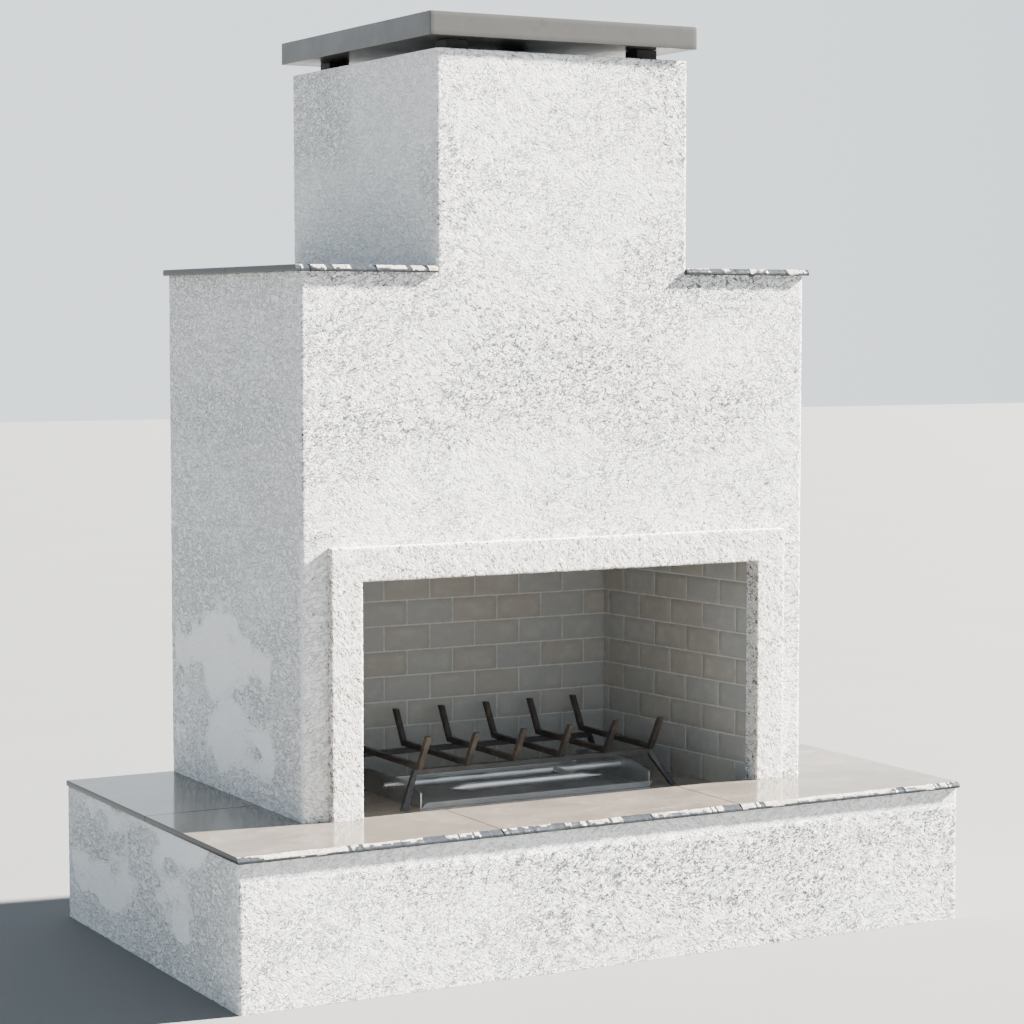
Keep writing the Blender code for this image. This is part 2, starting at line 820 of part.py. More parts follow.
def build_damper():
    pivot = add_pivot("damper_pivot", (0, flue_y, damper_z))
    shaft_half = flue_radius + flue_wall + damper_shaft_radius
    stop_half = shaft_half + damper_stop_length
    shaft = [(0, -stop_half), (damper_stop_radius, -stop_half),
             (damper_stop_radius, -shaft_half), (damper_shaft_radius, -shaft_half),
             (damper_shaft_radius, shaft_half), (damper_stop_radius, shaft_half),
             (damper_stop_radius, stop_half), (0, stop_half)]
    add_turned("damper_shaft", shaft, shaft_sides, "X", "black_steel", parent=pivot)
    # the disc stands upright behind the shaft when the flue is open
    disc_radius = flue_radius - damper_clearance
    near = damper_shaft_radius + seat_gap
    shape = bmesh.new()
    rod_shape(shape, disc_radius, flue_sides, (0, near, 0), (0, near + damper_plate, 0))
    disc = finish_object("damper_disc", shape, "black_steel", parent=pivot)
    shade_round(disc)
    # the lever hangs forward of the disc on a hub that clamps the shaft
    half = damper_lever_width / 2
    hub = damper_hub_width / 2
    lean = Matrix.Rotation(-damper_lever_angle, 3, "X")
    hub_low = -damper_shaft_radius * 2
    shape = bmesh.new()
    block_shape(shape, (damper_lever_place - half, -hub, hub_low - hub),
                (damper_lever_place + half, damper_shaft_radius, hub))
    lever = finish_object("damper_lever", shape, "black_steel", parent=pivot)
    shape = bmesh.new()
    rod_shape(shape, half, shaft_sides // 2,
              lean @ Vector((damper_lever_place, 0, hub_low)),
              lean @ Vector((damper_lever_place, 0, -damper_lever_reach)))
    rod = make_tool("damper_lever_rod", shape, pivot)
    combine(lever, rod, "UNION")
    shaft_bore = rod_tool("damper_lever_bore", damper_shaft_radius + damper_shaft_clearance,
                          shaft_sides, (damper_lever_place - hub, 0, 0),
                          (damper_lever_place + hub, 0, 0), pivot)
    combine(lever, shaft_bore, "DIFFERENCE")


# Log grate

def square_loop(centre, first, second):
    return [centre - first - second, centre + first - second,
            centre + first + second, centre - first + second]


def grate_bar_loops(place_x):
    # front tip, front bend, rear bend and rear tip, in the bar's own upright plane
    low = grate_clear_height + seat_gap
    axis_z = low + grate_bar / 2
    tip_z = low + grate_tip_rise
    path = [Vector((0, -grate_tip_lean, tip_z)), Vector((0, 0, axis_z)),
            Vector((0, grate_length, axis_z)), Vector((0, grate_length + grate_tip_lean, tip_z))]
    across = Vector((grate_bar / 2, 0, 0))
    loops = []
    for index, spot in enumerate(path):
        before = (spot - path[index - 1]).normalized() if index else None
        after = (path[index + 1] - spot).normalized() if index + 1 < len(path) else None
        if before and after:
            along = (before + after).normalized()
            stretch = 1 / along.dot(after)
            side = Vector((0, -along.z, along.y)) * stretch
        else:
            along = before or after
            # the sheared tips are level on top
            side = Vector((0, 1, 0)) / abs(along.z) * (1 if after else -1)
        loops.append([Vector((place_x, 0, 0)) + point
                      for point in square_loop(spot, across, side * grate_bar / 2)])
    return loops


def leg_frame_loops(place_y, lean):
    # an inverted U of square bar: foot, corner, corner, foot
    half_run = grate_bar_pitch * (grate_bar_count - 1) / 2 + grate_frame_overhang
    top = grate_clear_height
    low = top - grate_bar
    depth = grate_bar / 2
    slope = grate_leg_splay / low
    leg_wide = grate_bar * math.hypot(1, slope)
    loops = []
    for side in (-1, 1):
        inner_x = side * half_run
        outer_x = inner_x + side * (leg_wide - slope * grate_bar)
        foot_in = side * (half_run + grate_leg_splay)
        foot_out = foot_in + side * leg_wide
        foot_y = place_y - lean
        foot = [Vector((foot_in, foot_y - depth, 0)), Vector((foot_in, foot_y + depth, 0)),
                Vector((foot_out, foot_y + depth, 0)), Vector((foot_out, foot_y - depth, 0))]
        corner = [Vector((inner_x, place_y - depth, low)), Vector((inner_x, place_y + depth, low)),
                  Vector((outer_x, place_y + depth, top)), Vector((outer_x, place_y - depth, top))]
        loops += [foot, corner] if side < 0 else [corner, foot]
    return loops


def build_grate():
    pivot = add_pivot("grate_stand", (grate_x, body_front + grate_front, floor_top + seat_gap))
    front_y = grate_front_frame_setback
    rear_y = grate_length - grate_rear_frame_setback
    add_skin("grate_front_frame", leg_frame_loops(front_y, grate_leg_lean), "black_steel",
             parent=pivot)
    add_skin("grate_rear_frame", leg_frame_loops(rear_y, -grate_leg_lean), "black_steel",
             parent=pivot)
    for index in range(grate_bar_count):
        place_x = (index - (grate_bar_count - 1) / 2) * grate_bar_pitch
        add_skin("grate_bar_" + str(index + 1), grate_bar_loops(place_x), "black_steel",
                 parent=pivot)


# Burner

def build_pan(pivot):
    half = pan_width / 2
    floor_plate = add_block("burner_pan", (-half, 0, 0), (half, pan_depth, pan_thickness),
                            "stainless", parent=pivot)
    side_outline = [(0, 0), (pan_depth, 0), (pan_depth, pan_end_height),
                    (pan_depth - pan_chamfer_length, pan_wall_height),
                    (pan_chamfer_length, pan_wall_height), (0, pan_end_height)]
    for side, word in ((-1, "left"), (1, "right")):
        outer, inner = side * half, side * (half - pan_thickness)
        shape = bmesh.new()
        prism_shape(shape, side_outline, "X", min(outer, inner), max(outer, inner))
        wall = make_tool("burner_pan_" + word + "_wall", shape, pivot)
        combine(floor_plate, wall, "UNION")
    shape = bmesh.new()
    block_shape(shape, (-half, pan_depth - pan_thickness, 0), (half, pan_depth, pan_lip_height))
    combine(floor_plate, make_tool("burner_pan_rear_lip", shape, pivot), "UNION")
    lip_outline = [(-half, 0), (half, 0), (half + pan_lip_tail_length, pan_lip_height),
                   (-half + pan_lip_mitre_length, pan_lip_height)]
    shape = bmesh.new()
    prism_shape(shape, lip_outline, "Y", 0, pan_thickness)
    combine(floor_plate, make_tool("burner_pan_lip", shape, pivot), "UNION")
    hole = rod_tool("burner_pan_inlet_hole", nipple_radius + nipple_clearance, tube_sides,
                    (-half - nipple_reach, rear_tube_setback, tube_height),
                    (-half + nipple_reach, rear_tube_setback, tube_height), pivot)
    combine(floor_plate, hole, "DIFFERENCE")


def port_tool(name, start, end, place_y, pivot):
    # one row of gas ports through the underside of a tube
    shape = bmesh.new()
    count = int((end - start) / port_pitch) + 1
    spare = (end - start) - port_pitch * (count - 1)
    for step in range(count):
        place = start + spare / 2 + port_pitch * step
        rod_shape(shape, port_radius, 6, (place, place_y, tube_height - tube_radius * 2),
                  (place, place_y, tube_height))
    return make_tool(name, shape, pivot)


def build_tubes(pivot):
    half = pan_width / 2 - pan_thickness - seat_gap
    inner = tube_radius - tube_wall
    bridge_x = crossover_shift
    rear = add_turned("burner_tube_rear", tube_profile(tube_radius, inner, -half, half),
                      tube_sides, "X", "stainless", (0, rear_tube_setback, tube_height), pivot)
    bridge_bore = crossover_radius - tube_wall
    bore = rod_tool("crossover_way", bridge_bore, tube_sides,
                    (bridge_x, front_tube_setback, tube_height),
                    (bridge_x, rear_tube_setback, tube_height), pivot)
    combine(rear, bore, "DIFFERENCE")
    margin = tube_radius * 2
    combine(rear, port_tool("rear_ports", -half + nipple_insert + margin, half - margin,
                            rear_tube_setback, pivot), "DIFFERENCE")

    front_half = front_tube_length / 2
    places = (-front_half, -front_half + pinch_flat, -front_half + pinch_flat + pinch_length)
    loops = []
    for mirror in (1, -1):
        for place in places[::mirror]:
            if place == places[-1]:
                reach_y, reach_z = tube_radius, tube_radius
            else:
                reach_y, reach_z = pinch_width / 2, pinch_height / 2
            loops.append([Vector((front_tube_shift + place * mirror,
                                  front_tube_setback + reach_y * first,
                                  tube_height + reach_z * second))
                          for first, second in ring_points(1, tube_sides)])
    front = add_skin("burner_tube_front", loops, "stainless", parent=pivot, smooth=True)
    hollow = rod_tool("front_tube_hollow", inner, tube_sides,
                      (front_tube_shift + places[-1], front_tube_setback, tube_height),
                      (front_tube_shift - places[-1], front_tube_setback, tube_height), pivot)
    combine(front, hollow, "DIFFERENCE")
    combine(front, bore, "DIFFERENCE")
    combine(front, port_tool("front_ports", front_tube_shift + places[-1] + margin,
                             front_tube_shift - places[-1] - margin,
                             front_tube_setback, pivot), "DIFFERENCE")

    bridge_profile_low = front_tube_setback + inner
    bridge_profile_high = rear_tube_setback - inner
    shape = bmesh.new()
    rod_shape(shape, crossover_radius, tube_sides, (bridge_x, bridge_profile_low, tube_height),
              (bridge_x, bridge_profile_high, tube_height))
    bridge = finish_object("burner_crossover", shape, "stainless", parent=pivot)
    combine(bridge, bore, "DIFFERENCE")
    for word, place_y in (("front", front_tube_setback), ("rear", rear_tube_setback)):
        saddle = rod_tool("crossover_saddle_" + word, tube_radius + seat_gap, tube_sides,
                          (bridge_x - margin, place_y, tube_height),
                          (bridge_x + margin, place_y, tube_height), pivot)
        combine(bridge, saddle, "DIFFERENCE")
    shade_round(bridge)

    wall_x = -pan_width / 2
    add_turned("burner_inlet_nipple",
               tube_profile(nipple_radius, nipple_radius - nipple_wall,
                            wall_x - nipple_reach, wall_x + nipple_insert),
               tube_sides, "X", "stainless", (0, rear_tube_setback, tube_height), pivot)


def build_burner():
    pivot = add_pivot("burner_stand", (pan_x, body_front + pan_front, floor_top + seat_gap))
    build_pan(pivot)
    build_tubes(pivot)


def build_fireplace():
    clear_scene()
    build_base_frame()
    build_plinth()
    build_hearth()
    build_body_frame()
    build_walls()
    build_shoulders()
    build_chimney_frame()
    build_surround()
    build_firebox()
    build_hood()
    build_flue()
    build_damper()
    build_cap()
    build_grate()
    build_burner()


build_fireplace()
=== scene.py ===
# Outdoor fireplace, dressed: trowelled stucco, split-edge tiles, brick lining, grate and burner
import json
import math

import bmesh
import bpy
import numpy as np
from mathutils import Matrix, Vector


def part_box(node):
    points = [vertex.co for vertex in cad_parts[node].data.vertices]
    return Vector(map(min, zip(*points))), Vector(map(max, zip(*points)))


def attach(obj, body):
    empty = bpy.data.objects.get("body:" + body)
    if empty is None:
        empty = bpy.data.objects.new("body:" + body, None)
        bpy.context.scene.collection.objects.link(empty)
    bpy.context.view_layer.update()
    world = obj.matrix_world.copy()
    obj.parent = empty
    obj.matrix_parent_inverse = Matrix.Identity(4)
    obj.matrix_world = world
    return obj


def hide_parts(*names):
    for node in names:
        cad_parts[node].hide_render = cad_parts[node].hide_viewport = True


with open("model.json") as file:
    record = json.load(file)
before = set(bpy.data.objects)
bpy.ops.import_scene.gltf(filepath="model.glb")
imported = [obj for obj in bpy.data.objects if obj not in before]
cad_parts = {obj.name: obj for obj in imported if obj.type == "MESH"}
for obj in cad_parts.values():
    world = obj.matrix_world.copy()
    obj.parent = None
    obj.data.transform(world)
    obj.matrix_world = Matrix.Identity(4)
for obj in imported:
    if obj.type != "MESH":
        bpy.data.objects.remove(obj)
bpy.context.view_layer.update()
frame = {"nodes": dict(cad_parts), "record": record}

up = np.array((0.0, 0.0, 1.0))


# Shader building

class Wire:
    # one value in a node tree; plain arithmetic on it adds Math nodes
    def __init__(self, nodes, socket):
        self.nodes = nodes
        self.socket = socket

    def maths(self, operation, first, second):
        return self.nodes.node("ShaderNodeMath", {"operation": operation}, {0: first, 1: second})

    def __add__(self, other):
        return self.maths("ADD", self, other)

    def __sub__(self, other):
        return self.maths("SUBTRACT", self, other)

    def __rsub__(self, other):
        return self.maths("SUBTRACT", other, self)

    def __mul__(self, other):
        return self.maths("MULTIPLY", self, other)

    __radd__ = __add__
    __rmul__ = __mul__


class NodeTree:
    # the nodes of a material or of the world
    def __init__(self, tree):
        self.tree = tree

    def feed(self, socket, value):
        if isinstance(value, Wire):
            self.tree.links.new(value.socket, socket)
        elif socket.type == "RGBA":
            socket.default_value = (*value[:3], 1.0)
        else:
            socket.default_value = value

    def node(self, kind, settings=None, sockets=None, out=0):
        made = self.tree.nodes.new(kind)
        for name, value in (settings or {}).items():
            setattr(made, name, value)
        for name, value in (sockets or {}).items():
            self.feed(made.inputs[name], value)
        return Wire(self, made.outputs[out])

    def step(self, value, span, ends=(0.0, 1.0)):
        # eases from the first end to the second while the value crosses the span
        return self.node("ShaderNodeMapRange", {"interpolation_type": "SMOOTHSTEP"},
                         {"Value": value, "From Min": span[0], "From Max": span[1],
                          "To Min": ends[0], "To Max": ends[1]})

    def blend(self, first, second, share):
        return self.node("ShaderNodeMix", {"data_type": "RGBA"},
                         {0: share, 6: first, 7: second}, 2)

    def tint(self, tone, colour, mask, span, share=1.0):
        # this share of a colour, laid over the tone where the mask crosses the span
        return self.blend(tone, colour, self.step(mask, span, (0.0, share)))


class Paint(NodeTree):
    # one material: Principled BSDF, object coordinates and the few textures used here
    def __init__(self, name, constants=None):
        self.material = bpy.data.materials.new(name)
        self.material.use_nodes = True
        super().__init__(self.material.node_tree)
        self.shader = self.tree.nodes["Principled BSDF"]
        for socket, value in (constants or {}).items():
            self.feed(self.shader.inputs[socket], value)
        self.place = self.node("ShaderNodeTexCoord", out="Object")

    def spread(self, size, shift=0.0, tilt=0.0):
        # object coordinates counted in lumps of this size, tilted in the plane of the front
        turned = self.node("ShaderNodeMapping", {"vector_type": "POINT"},
                           {"Vector": self.place, "Rotation": (0, tilt, 0)})
        return self.node("ShaderNodeVectorMath", {"operation": "MULTIPLY_ADD"},
                         {0: turned, 1: [1 / width for width in np.broadcast_to(size, 3)],
                          2: (shift,) * 3})

    def speckle(self, size, detail=2.0, rough=0.5, twist=0.0, shift=0.0, tilt=0.0):
        return self.node("ShaderNodeTexNoise", {},
                         {"Vector": self.spread(size, shift, tilt), "Scale": 1.0,
                          "Detail": detail, "Roughness": rough, "Distortion": twist})

    def cells(self, size, out="Color"):
        return self.node("ShaderNodeTexVoronoi", {},
                         {"Vector": self.spread(size), "Scale": 1.0}, out)

    def field(self, name):
        return self.node("ShaderNodeAttribute", {"attribute_name": name}, out="Fac")

    def bump(self, height, depth, strength):
        return self.node("ShaderNodeBump", {}, {"Height": height, "Distance": depth,
                                                "Strength": strength})

    def finish(self, colour, roughness=None, normal=None):
        for socket, value in (("Base Color", colour), ("Roughness", roughness),
                              ("Normal", normal)):
            if value is not None:
                self.feed(self.shader.inputs[socket], value)
        return self.material


# In every look below, a noise gives lump size, detail, roughness, twist and shift, a span gives
# where its effect begins and is full, and a bump gives depth and strength

mineral = {"IOR": 1.45}

# the stucco in sun; the dark pits between its crumbs are painted shade
stuccoLook = {
    "white": (0.86, 0.86, 0.85), "warm": (0.83, 0.825, 0.81), "pitShadeColour": (0.09, 0.095, 0.10),
    "stroke": (0.0150, 0.0150, 0.0072), "rise": 0.45, "fall": -0.55,
    "dot": (0.0100, 0.0100, 0.0080), "bump": (0.0062, 1.0),
    "pitShadeSpan": (0.424, 0.452), "pitShadeShare": 0.95,
}
# a copy for the walls in shade: the same stucco with lighter, fewer painted pit shadows and a
# smaller bump
shadeLook = {**stuccoLook, "pitShadeColour": (0.26, 0.27, 0.275), "pitShadeShare": 0.38, "bump": (0.0045, 1.0)}
# the cream surround's stucco; its dark pits are painted shade as well
creamLook = {
    "white": (0.96, 0.91, 0.86), "warm": (0.94, 0.885, 0.83), "pitShadeColour": (0.11, 0.095, 0.08),
    "stroke": (0.0135, 0.0135, 0.0056), "rise": -0.98, "fall": -0.80,
    "dot": (0.0085, 0.0085, 0.0068), "bump": (0.0060, 1.0),
    "pitShadeSpan": (0.408, 0.438), "pitShadeShare": 0.92,
}
# shared by the three stuccos; the sizes of strokes and dots stand in their looks
stuccoMix = {
    "strokeNoise": (3.0, 0.6, 1.3), "fallShift": 7.3, "crumbSpan": (0.33, 0.58),
    "sweep": ((0.21, 0.21, 0.15), 3.0, 0.6, 0.0, 2.9), "sweepSpan": (0.47, 0.60),
    "dotNoise": (2.0, 0.6, 0.0, 5.2), "dotSpan": (0.345, 0.385), "dotHeight": 0.6,
    "grain": ((0.0030, 0.0030, 0.0026), 2.0, 0.6, 0.0, 1.1), "grainSpan": (0.35, 0.65),
    "grainShare": 0.16, "grainHeight": 0.25,
    "ragged": (0.013, 3.0, 0.65, 0.8, 2.6), "raggedShare": 0.30, "raggedMean": 0.5,
    "patchSpan": (-0.30, 0.30), "patchCover": 0.88, "patchHeight": 0.35, "calmCover": 0.9,
    "broken": (0.05, 2.0, 0.5, 0.0, 9.1), "brokenSpan": (0.46, 0.54),
    "crackStart": (-0.060, -0.035), "crackEnd": (-0.030, -0.005), "crackShadeShare": 0.60,
    "crackHeight": 0.45, "roughness": 0.93,
    "stain": ((0.24, 0.24, 0.16), 3.0, 0.6, 0.0, 3.1), "stainSpan": (0.35, 0.7),
}


def paintStucco(name, look):
    # short strokes of painted shade between the crumbs, rising in some sweeps of the trowel,
    # falling in others
    paint, mix = Paint(name, mineral), stuccoMix
    rising = paint.speckle(look["stroke"], *mix["strokeNoise"], tilt=look["rise"])
    falling = paint.speckle(look["stroke"], *mix["strokeNoise"], mix["fallShift"], look["fall"])
    sweep = paint.step(paint.speckle(*mix["sweep"]), mix["sweepSpan"])
    crumbs = rising + (falling - rising) * sweep
    dots = paint.speckle(look["dot"], *mix["dotNoise"])
    grain = paint.speckle(*mix["grain"])
    # smooth smears with crack-like borders where the trowel went over the crumbs again
    ragged = paint.speckle(*mix["ragged"])
    smear = paint.field("smear") + (ragged - mix["raggedMean"]) * mix["raggedShare"]
    patch = paint.step(smear, mix["patchSpan"])
    broken = paint.step(paint.speckle(*mix["broken"]), mix["brokenSpan"])
    crack = (paint.step(smear, mix["crackStart"]) - paint.step(smear, mix["crackEnd"])) * broken
    rough = (1 - patch * mix["patchCover"]) * (1 - paint.field("calm") * mix["calmCover"])
    # painted shade in the pits between the crumbs and in the dots, less where the wall is calm or
    # smeared
    pitShades = paint.step(crumbs, look["pitShadeSpan"], (1.0, 0.0))
    pitShades = (pitShades + paint.step(dots, mix["dotSpan"], (1.0, 0.0))) * rough
    stains = paint.speckle(*mix["stain"])
    tone = paint.tint(look["white"], look["warm"], stains, mix["stainSpan"])
    # the fine grain is darkened with the same painted-shade colour
    tone = paint.tint(tone, look["pitShadeColour"], grain, mix["grainSpan"], mix["grainShare"])
    tone = paint.blend(tone, look["pitShadeColour"], pitShades * look["pitShadeShare"])
    # painted shade in the cracks along the smears' borders
    tone = paint.blend(tone, look["pitShadeColour"], crack * mix["crackShadeShare"])
    height = (paint.step(crumbs, mix["crumbSpan"]) * rough + dots * rough * mix["dotHeight"]
              + grain * mix["grainHeight"] + patch * mix["patchHeight"]
              - crack * mix["crackHeight"])
    return paint.finish(tone, mix["roughness"], paint.bump(height, *look["bump"]))


tileLook = {
    "base": (0.104, 0.089, 0.074), "dark": (0.078, 0.068, 0.058), "vein": (0.20, 0.185, 0.165),
    "cloud": ((0.16, 0.10, 0.10), 5.0, 0.6, 0.8), "cloudSpan": (0.32, 0.66),
    "wave": ((0.110, 0.034, 0.034), 3.0, 0.55, 1.2, 4.4), "veinStart": (0.475, 0.50),
    "veinEnd": (0.50, 0.525), "veinClouds": (0.46, 0.60), "veinShare": 0.5,
    "speck": ((0.0035, 0.0025, 0.0025), 1.0, 0.5), "speckSpan": (0.58, 0.72), "speckShare": 0.5,
    "glossSpan": (0.30, 0.70), "gloss": (0.14, 0.09), "bump": (0.00002, 0.3),
    "shader": {"IOR": 1.42}, "floorPaintedLight": 2.7,
}


def paintTile(name, paintedLight=1.0):
    # polished stone look with faint clouds and a few light wavy veins
    paint, look = Paint(name, tileLook["shader"]), tileLook
    cloud, wave, specks = (paint.speckle(*look[word]) for word in ("cloud", "wave", "speck"))
    # a factor above one lightens the copy used for the firebox floor: painted light, as that floor
    # lies in shade
    dark, base = ([shade * paintedLight for shade in look[word]] for word in ("dark", "base"))
    tone = paint.tint(dark, base, cloud, look["cloudSpan"])
    vein = paint.step(wave, look["veinStart"]) - paint.step(wave, look["veinEnd"])
    vein = vein * paint.step(cloud, look["veinClouds"]) * look["veinShare"]
    tone = paint.blend(tone, look["vein"], vein)
    tone = paint.tint(tone, dark, specks, look["speckSpan"], look["speckShare"])
    gloss = paint.step(cloud, look["glossSpan"], look["gloss"])
    return paint.finish(tone, gloss, paint.bump(specks, *look["bump"]))


# the broken upper part of a tile's front edge, light and rough; its small dark chips are painted
# shade
splitLook = {
    "shader": {"IOR": 1.5}, "base": (0.17, 0.145, 0.12), "layer": (0.34, 0.295, 0.245),
    "chip": (0.035, 0.036, 0.038), "layers": ((0.026, 0.006, 0.0022), 3.0, 0.6, 0.4),
    "layerSpan": (0.38, 0.58), "chips": ((0.0045, 0.004, 0.0035), 3.0, 0.65),
    "chipSpan": (0.55, 0.62), "chipShare": 0.9, "chipHeight": 0.7, "layerHeight": 0.3,
    "roughness": 0.80, "bump": (0.0022, 0.9),
}
# painted shade for the lower, upright part of the same edge, for deep chips and cracks in it and
# for the rounded side edges:
# much darker than the tile, with a painted bluish reflection
shadedEdgeLook = {
    "shader": {"IOR": 1.3}, "base": (0.013, 0.016, 0.020), "layer": (0.022, 0.026, 0.030),
    "chip": (0.08, 0.075, 0.066), "layers": ((0.020, 0.006, 0.0018), 3.0, 0.6, 0.4),
    "layerSpan": (0.35, 0.65), "chips": ((0.005, 0.004, 0.003), 3.0, 0.65),
    "chipSpan": (0.66, 0.72), "chipShare": 0.5, "chipHeight": 0.6, "layerHeight": 0.4,
    "roughness": 0.32, "bump": (0.0004, 0.5),
}


def paintStoneEdge(name, look):
    paint = Paint(name, look["shader"])
    layers, chips = paint.speckle(*look["layers"]), paint.speckle(*look["chips"])
    tone = paint.tint(look["base"], look["layer"], layers, look["layerSpan"])
    tone = paint.tint(tone, look["chip"], chips, look["chipSpan"], look["chipShare"])
    height = chips * look["chipHeight"] + layers * look["layerHeight"]
    return paint.finish(tone, look["roughness"], paint.bump(height, *look["bump"]))


brickLook = {
    "cool": (0.250, 0.256, 0.252), "warm": (0.264, 0.254, 0.229), "light": (0.312, 0.308, 0.292),
    "rim": (0.180, 0.176, 0.166), "mortar": (0.42, 0.42, 0.41), "sand": (0.35, 0.348, 0.340),
    "cloud": ((0.050, 0.050, 0.045), 4.0, 0.6), "mottle": (0.013, 3.0, 0.6, 0.0, 2.2),
    "grit": (0.0016, 2.0, 0.6), "toneSpan": (0.1, 0.9), "lightSpan": (0.44, 0.70),
    "lightShare": 0.55, "rimShadeSpan": (0.46, 0.66), "rimShadeTone": 0.10, "rimShadeShare": 0.45,
    "spotSpan": (0.58, 0.78), "spotShare": 0.22, "sandSpan": (0.4, 0.7),
    "roughSpan": (0.3, 0.7), "roughness": (0.66, 0.84), "gritHeight": 0.5, "bump": (0.0008, 0.5),
}


def paintBrick(name):
    paint, look = Paint(name, mineral), brickLook
    tone, joint, rim = (paint.field(word) for word in ("tone", "joint", "rim"))
    cloud, mottle, grit = (paint.speckle(*look[word]) for word in ("cloud", "mottle", "grit"))
    face = paint.tint(look["cool"], look["warm"], tone, look["toneSpan"])
    face = paint.tint(face, look["light"], cloud, look["lightSpan"], look["lightShare"])
    # painted shade on the brick rims beside the joints and in the end slots; the same dark colour
    # also gives the random spots
    rimShade = rim * paint.step(cloud + tone * look["rimShadeTone"], look["rimShadeSpan"]) * look["rimShadeShare"]
    face = paint.blend(face, look["rim"], rimShade)
    face = paint.tint(face, look["rim"], mottle, look["spotSpan"], look["spotShare"])
    mortar = paint.tint(look["mortar"], look["sand"], mottle, look["sandSpan"])
    height = (grit + mottle) * look["gritHeight"]
    return paint.finish(paint.blend(face, mortar, joint),
                        paint.step(mottle, look["roughSpan"], look["roughness"]),
                        paint.bump(height, *look["bump"]))


concreteLook = {
    "dark": (0.048, 0.046, 0.043), "light": (0.062, 0.060, 0.056), "stain": (0.046, 0.044, 0.040),
    "hole": (0.04, 0.04, 0.037), "cloud": ((0.13, 0.13, 0.09), 5.0, 0.6, 0.4),
    "cloudSpan": (0.34, 0.66), "mottle": ((0.014, 0.014, 0.012), 4.0, 0.6, 0.0, 5.0),
    "stainSpan": (0.52, 0.66), "stainShare": 0.6, "holeSize": 0.017, "holeSpan": (0.05, 0.11),
    "holeShadeShare": 0.45, "mottleHeight": 0.6, "holeHeight": 0.4, "roughSpan": (0.3, 0.7),
    "roughness": (0.36, 0.28), "bump": (0.0002, 0.4),
}


def paintConcrete(name):
    paint, look = Paint(name, mineral), concreteLook
    cloud, mottle = paint.speckle(*look["cloud"]), paint.speckle(*look["mottle"])
    hole = paint.step(paint.cells(look["holeSize"], "Distance"), look["holeSpan"], (1.0, 0.0))
    tone = paint.tint(look["dark"], look["light"], cloud, look["cloudSpan"])
    tone = paint.tint(tone, look["stain"], mottle, look["stainSpan"], look["stainShare"])
    # pinholes darkened: painted shade in them
    tone = paint.blend(tone, look["hole"], hole * look["holeShadeShare"])
    height = mottle * look["mottleHeight"] - hole * look["holeHeight"]
    return paint.finish(tone, paint.step(cloud, look["roughSpan"], look["roughness"]),
                        paint.bump(height, *look["bump"]))


boardLook = {
    "dark": (0.36, 0.36, 0.345), "light": (0.50, 0.50, 0.48), "thread": (0.28, 0.28, 0.27),
    "dust": (0.09, 3.0, 0.6), "dustSpan": (0.3, 0.7), "fibre": ((0.012, 0.003, 0.003), 3.0, 0.6),
    "fibreSpan": (0.60, 0.75), "fibreShare": 0.5, "roughness": 0.94, "bump": (0.0006, 0.6),
}


def paintBoard(name):
    paint, look = Paint(name, mineral), boardLook
    dust, fibre = paint.speckle(*look["dust"]), paint.speckle(*look["fibre"])
    tone = paint.tint(look["dark"], look["light"], dust, look["dustSpan"])
    tone = paint.tint(tone, look["thread"], fibre, look["fibreSpan"], look["fibreShare"])
    return paint.finish(tone, look["roughness"], paint.bump(fibre, *look["bump"]))


zincLook = {
    "dark": (0.42, 0.44, 0.45), "light": (0.60, 0.62, 0.63), "dull": (0.47, 0.47, 0.46),
    "crystal": 0.016, "crystalSpan": (0.0, 1.0), "haze": (0.15, 3.0, 0.6),
    "hazeSpan": (0.45, 0.7), "shader": {"Metallic": 0.9},
    "roughness": (0.36, 0.54), "bump": (0.0006, 0.3),
}


def paintZinc(name):
    # galvanised sheet: flat crystals of slightly different grey
    paint, look = Paint(name, zincLook["shader"]), zincLook
    crystal = paint.node("ShaderNodeSeparateColor", {}, {"Color": paint.cells(look["crystal"])})
    haze = paint.speckle(*look["haze"])
    tone = paint.tint(look["dark"], look["light"], crystal, look["crystalSpan"])
    tone = paint.tint(tone, look["dull"], haze, look["hazeSpan"])
    return paint.finish(tone, paint.step(crystal, look["crystalSpan"], look["roughness"]),
                        paint.bump(haze, *look["bump"]))


# dark tone, bloom and roughness of each kind of bar
barLook = {
    "log": ((0.019, 0.018, 0.0175), (0.064, 0.048, 0.035), (0.47, 0.65)),
    "leg": ((0.017, 0.018, 0.020), (0.036, 0.036, 0.036), (0.34, 0.52)),
    "post": ((0.006, 0.006, 0.006), (0.015, 0.014, 0.013), (0.52, 0.70)),
    "cloud": (0.034, 4.0, 0.6, 0.5), "scale": (0.0036, 3.0, 0.65, 0.0, 1.7), "scaleTone": 0.20,
    "bloomSpan": (0.44, 0.92), "rubSpan": (0.62, 0.76), "rubShare": 0.25,
    "roughSpan": (0.3, 0.7), "scaleHeight": 0.7, "cloudHeight": 0.3, "bump": (0.0005, 0.5),
}


def paintBar(name, kind):
    # hot-rolled bar: black scale with a faint bloom, rubbed lighter in places
    paint, look = Paint(name), barLook
    dark, bloom, roughness = look[kind]
    cloud, scale = paint.speckle(*look["cloud"]), paint.speckle(*look["scale"])
    tone = paint.tint(dark, bloom, cloud + scale * look["scaleTone"], look["bloomSpan"])
    tone = paint.tint(tone, bloom, scale, look["rubSpan"], look["rubShare"])
    height = scale * look["scaleHeight"] + cloud * look["cloudHeight"]
    return paint.finish(tone, paint.step(scale, look["roughSpan"], roughness),
                        paint.bump(height, *look["bump"]))


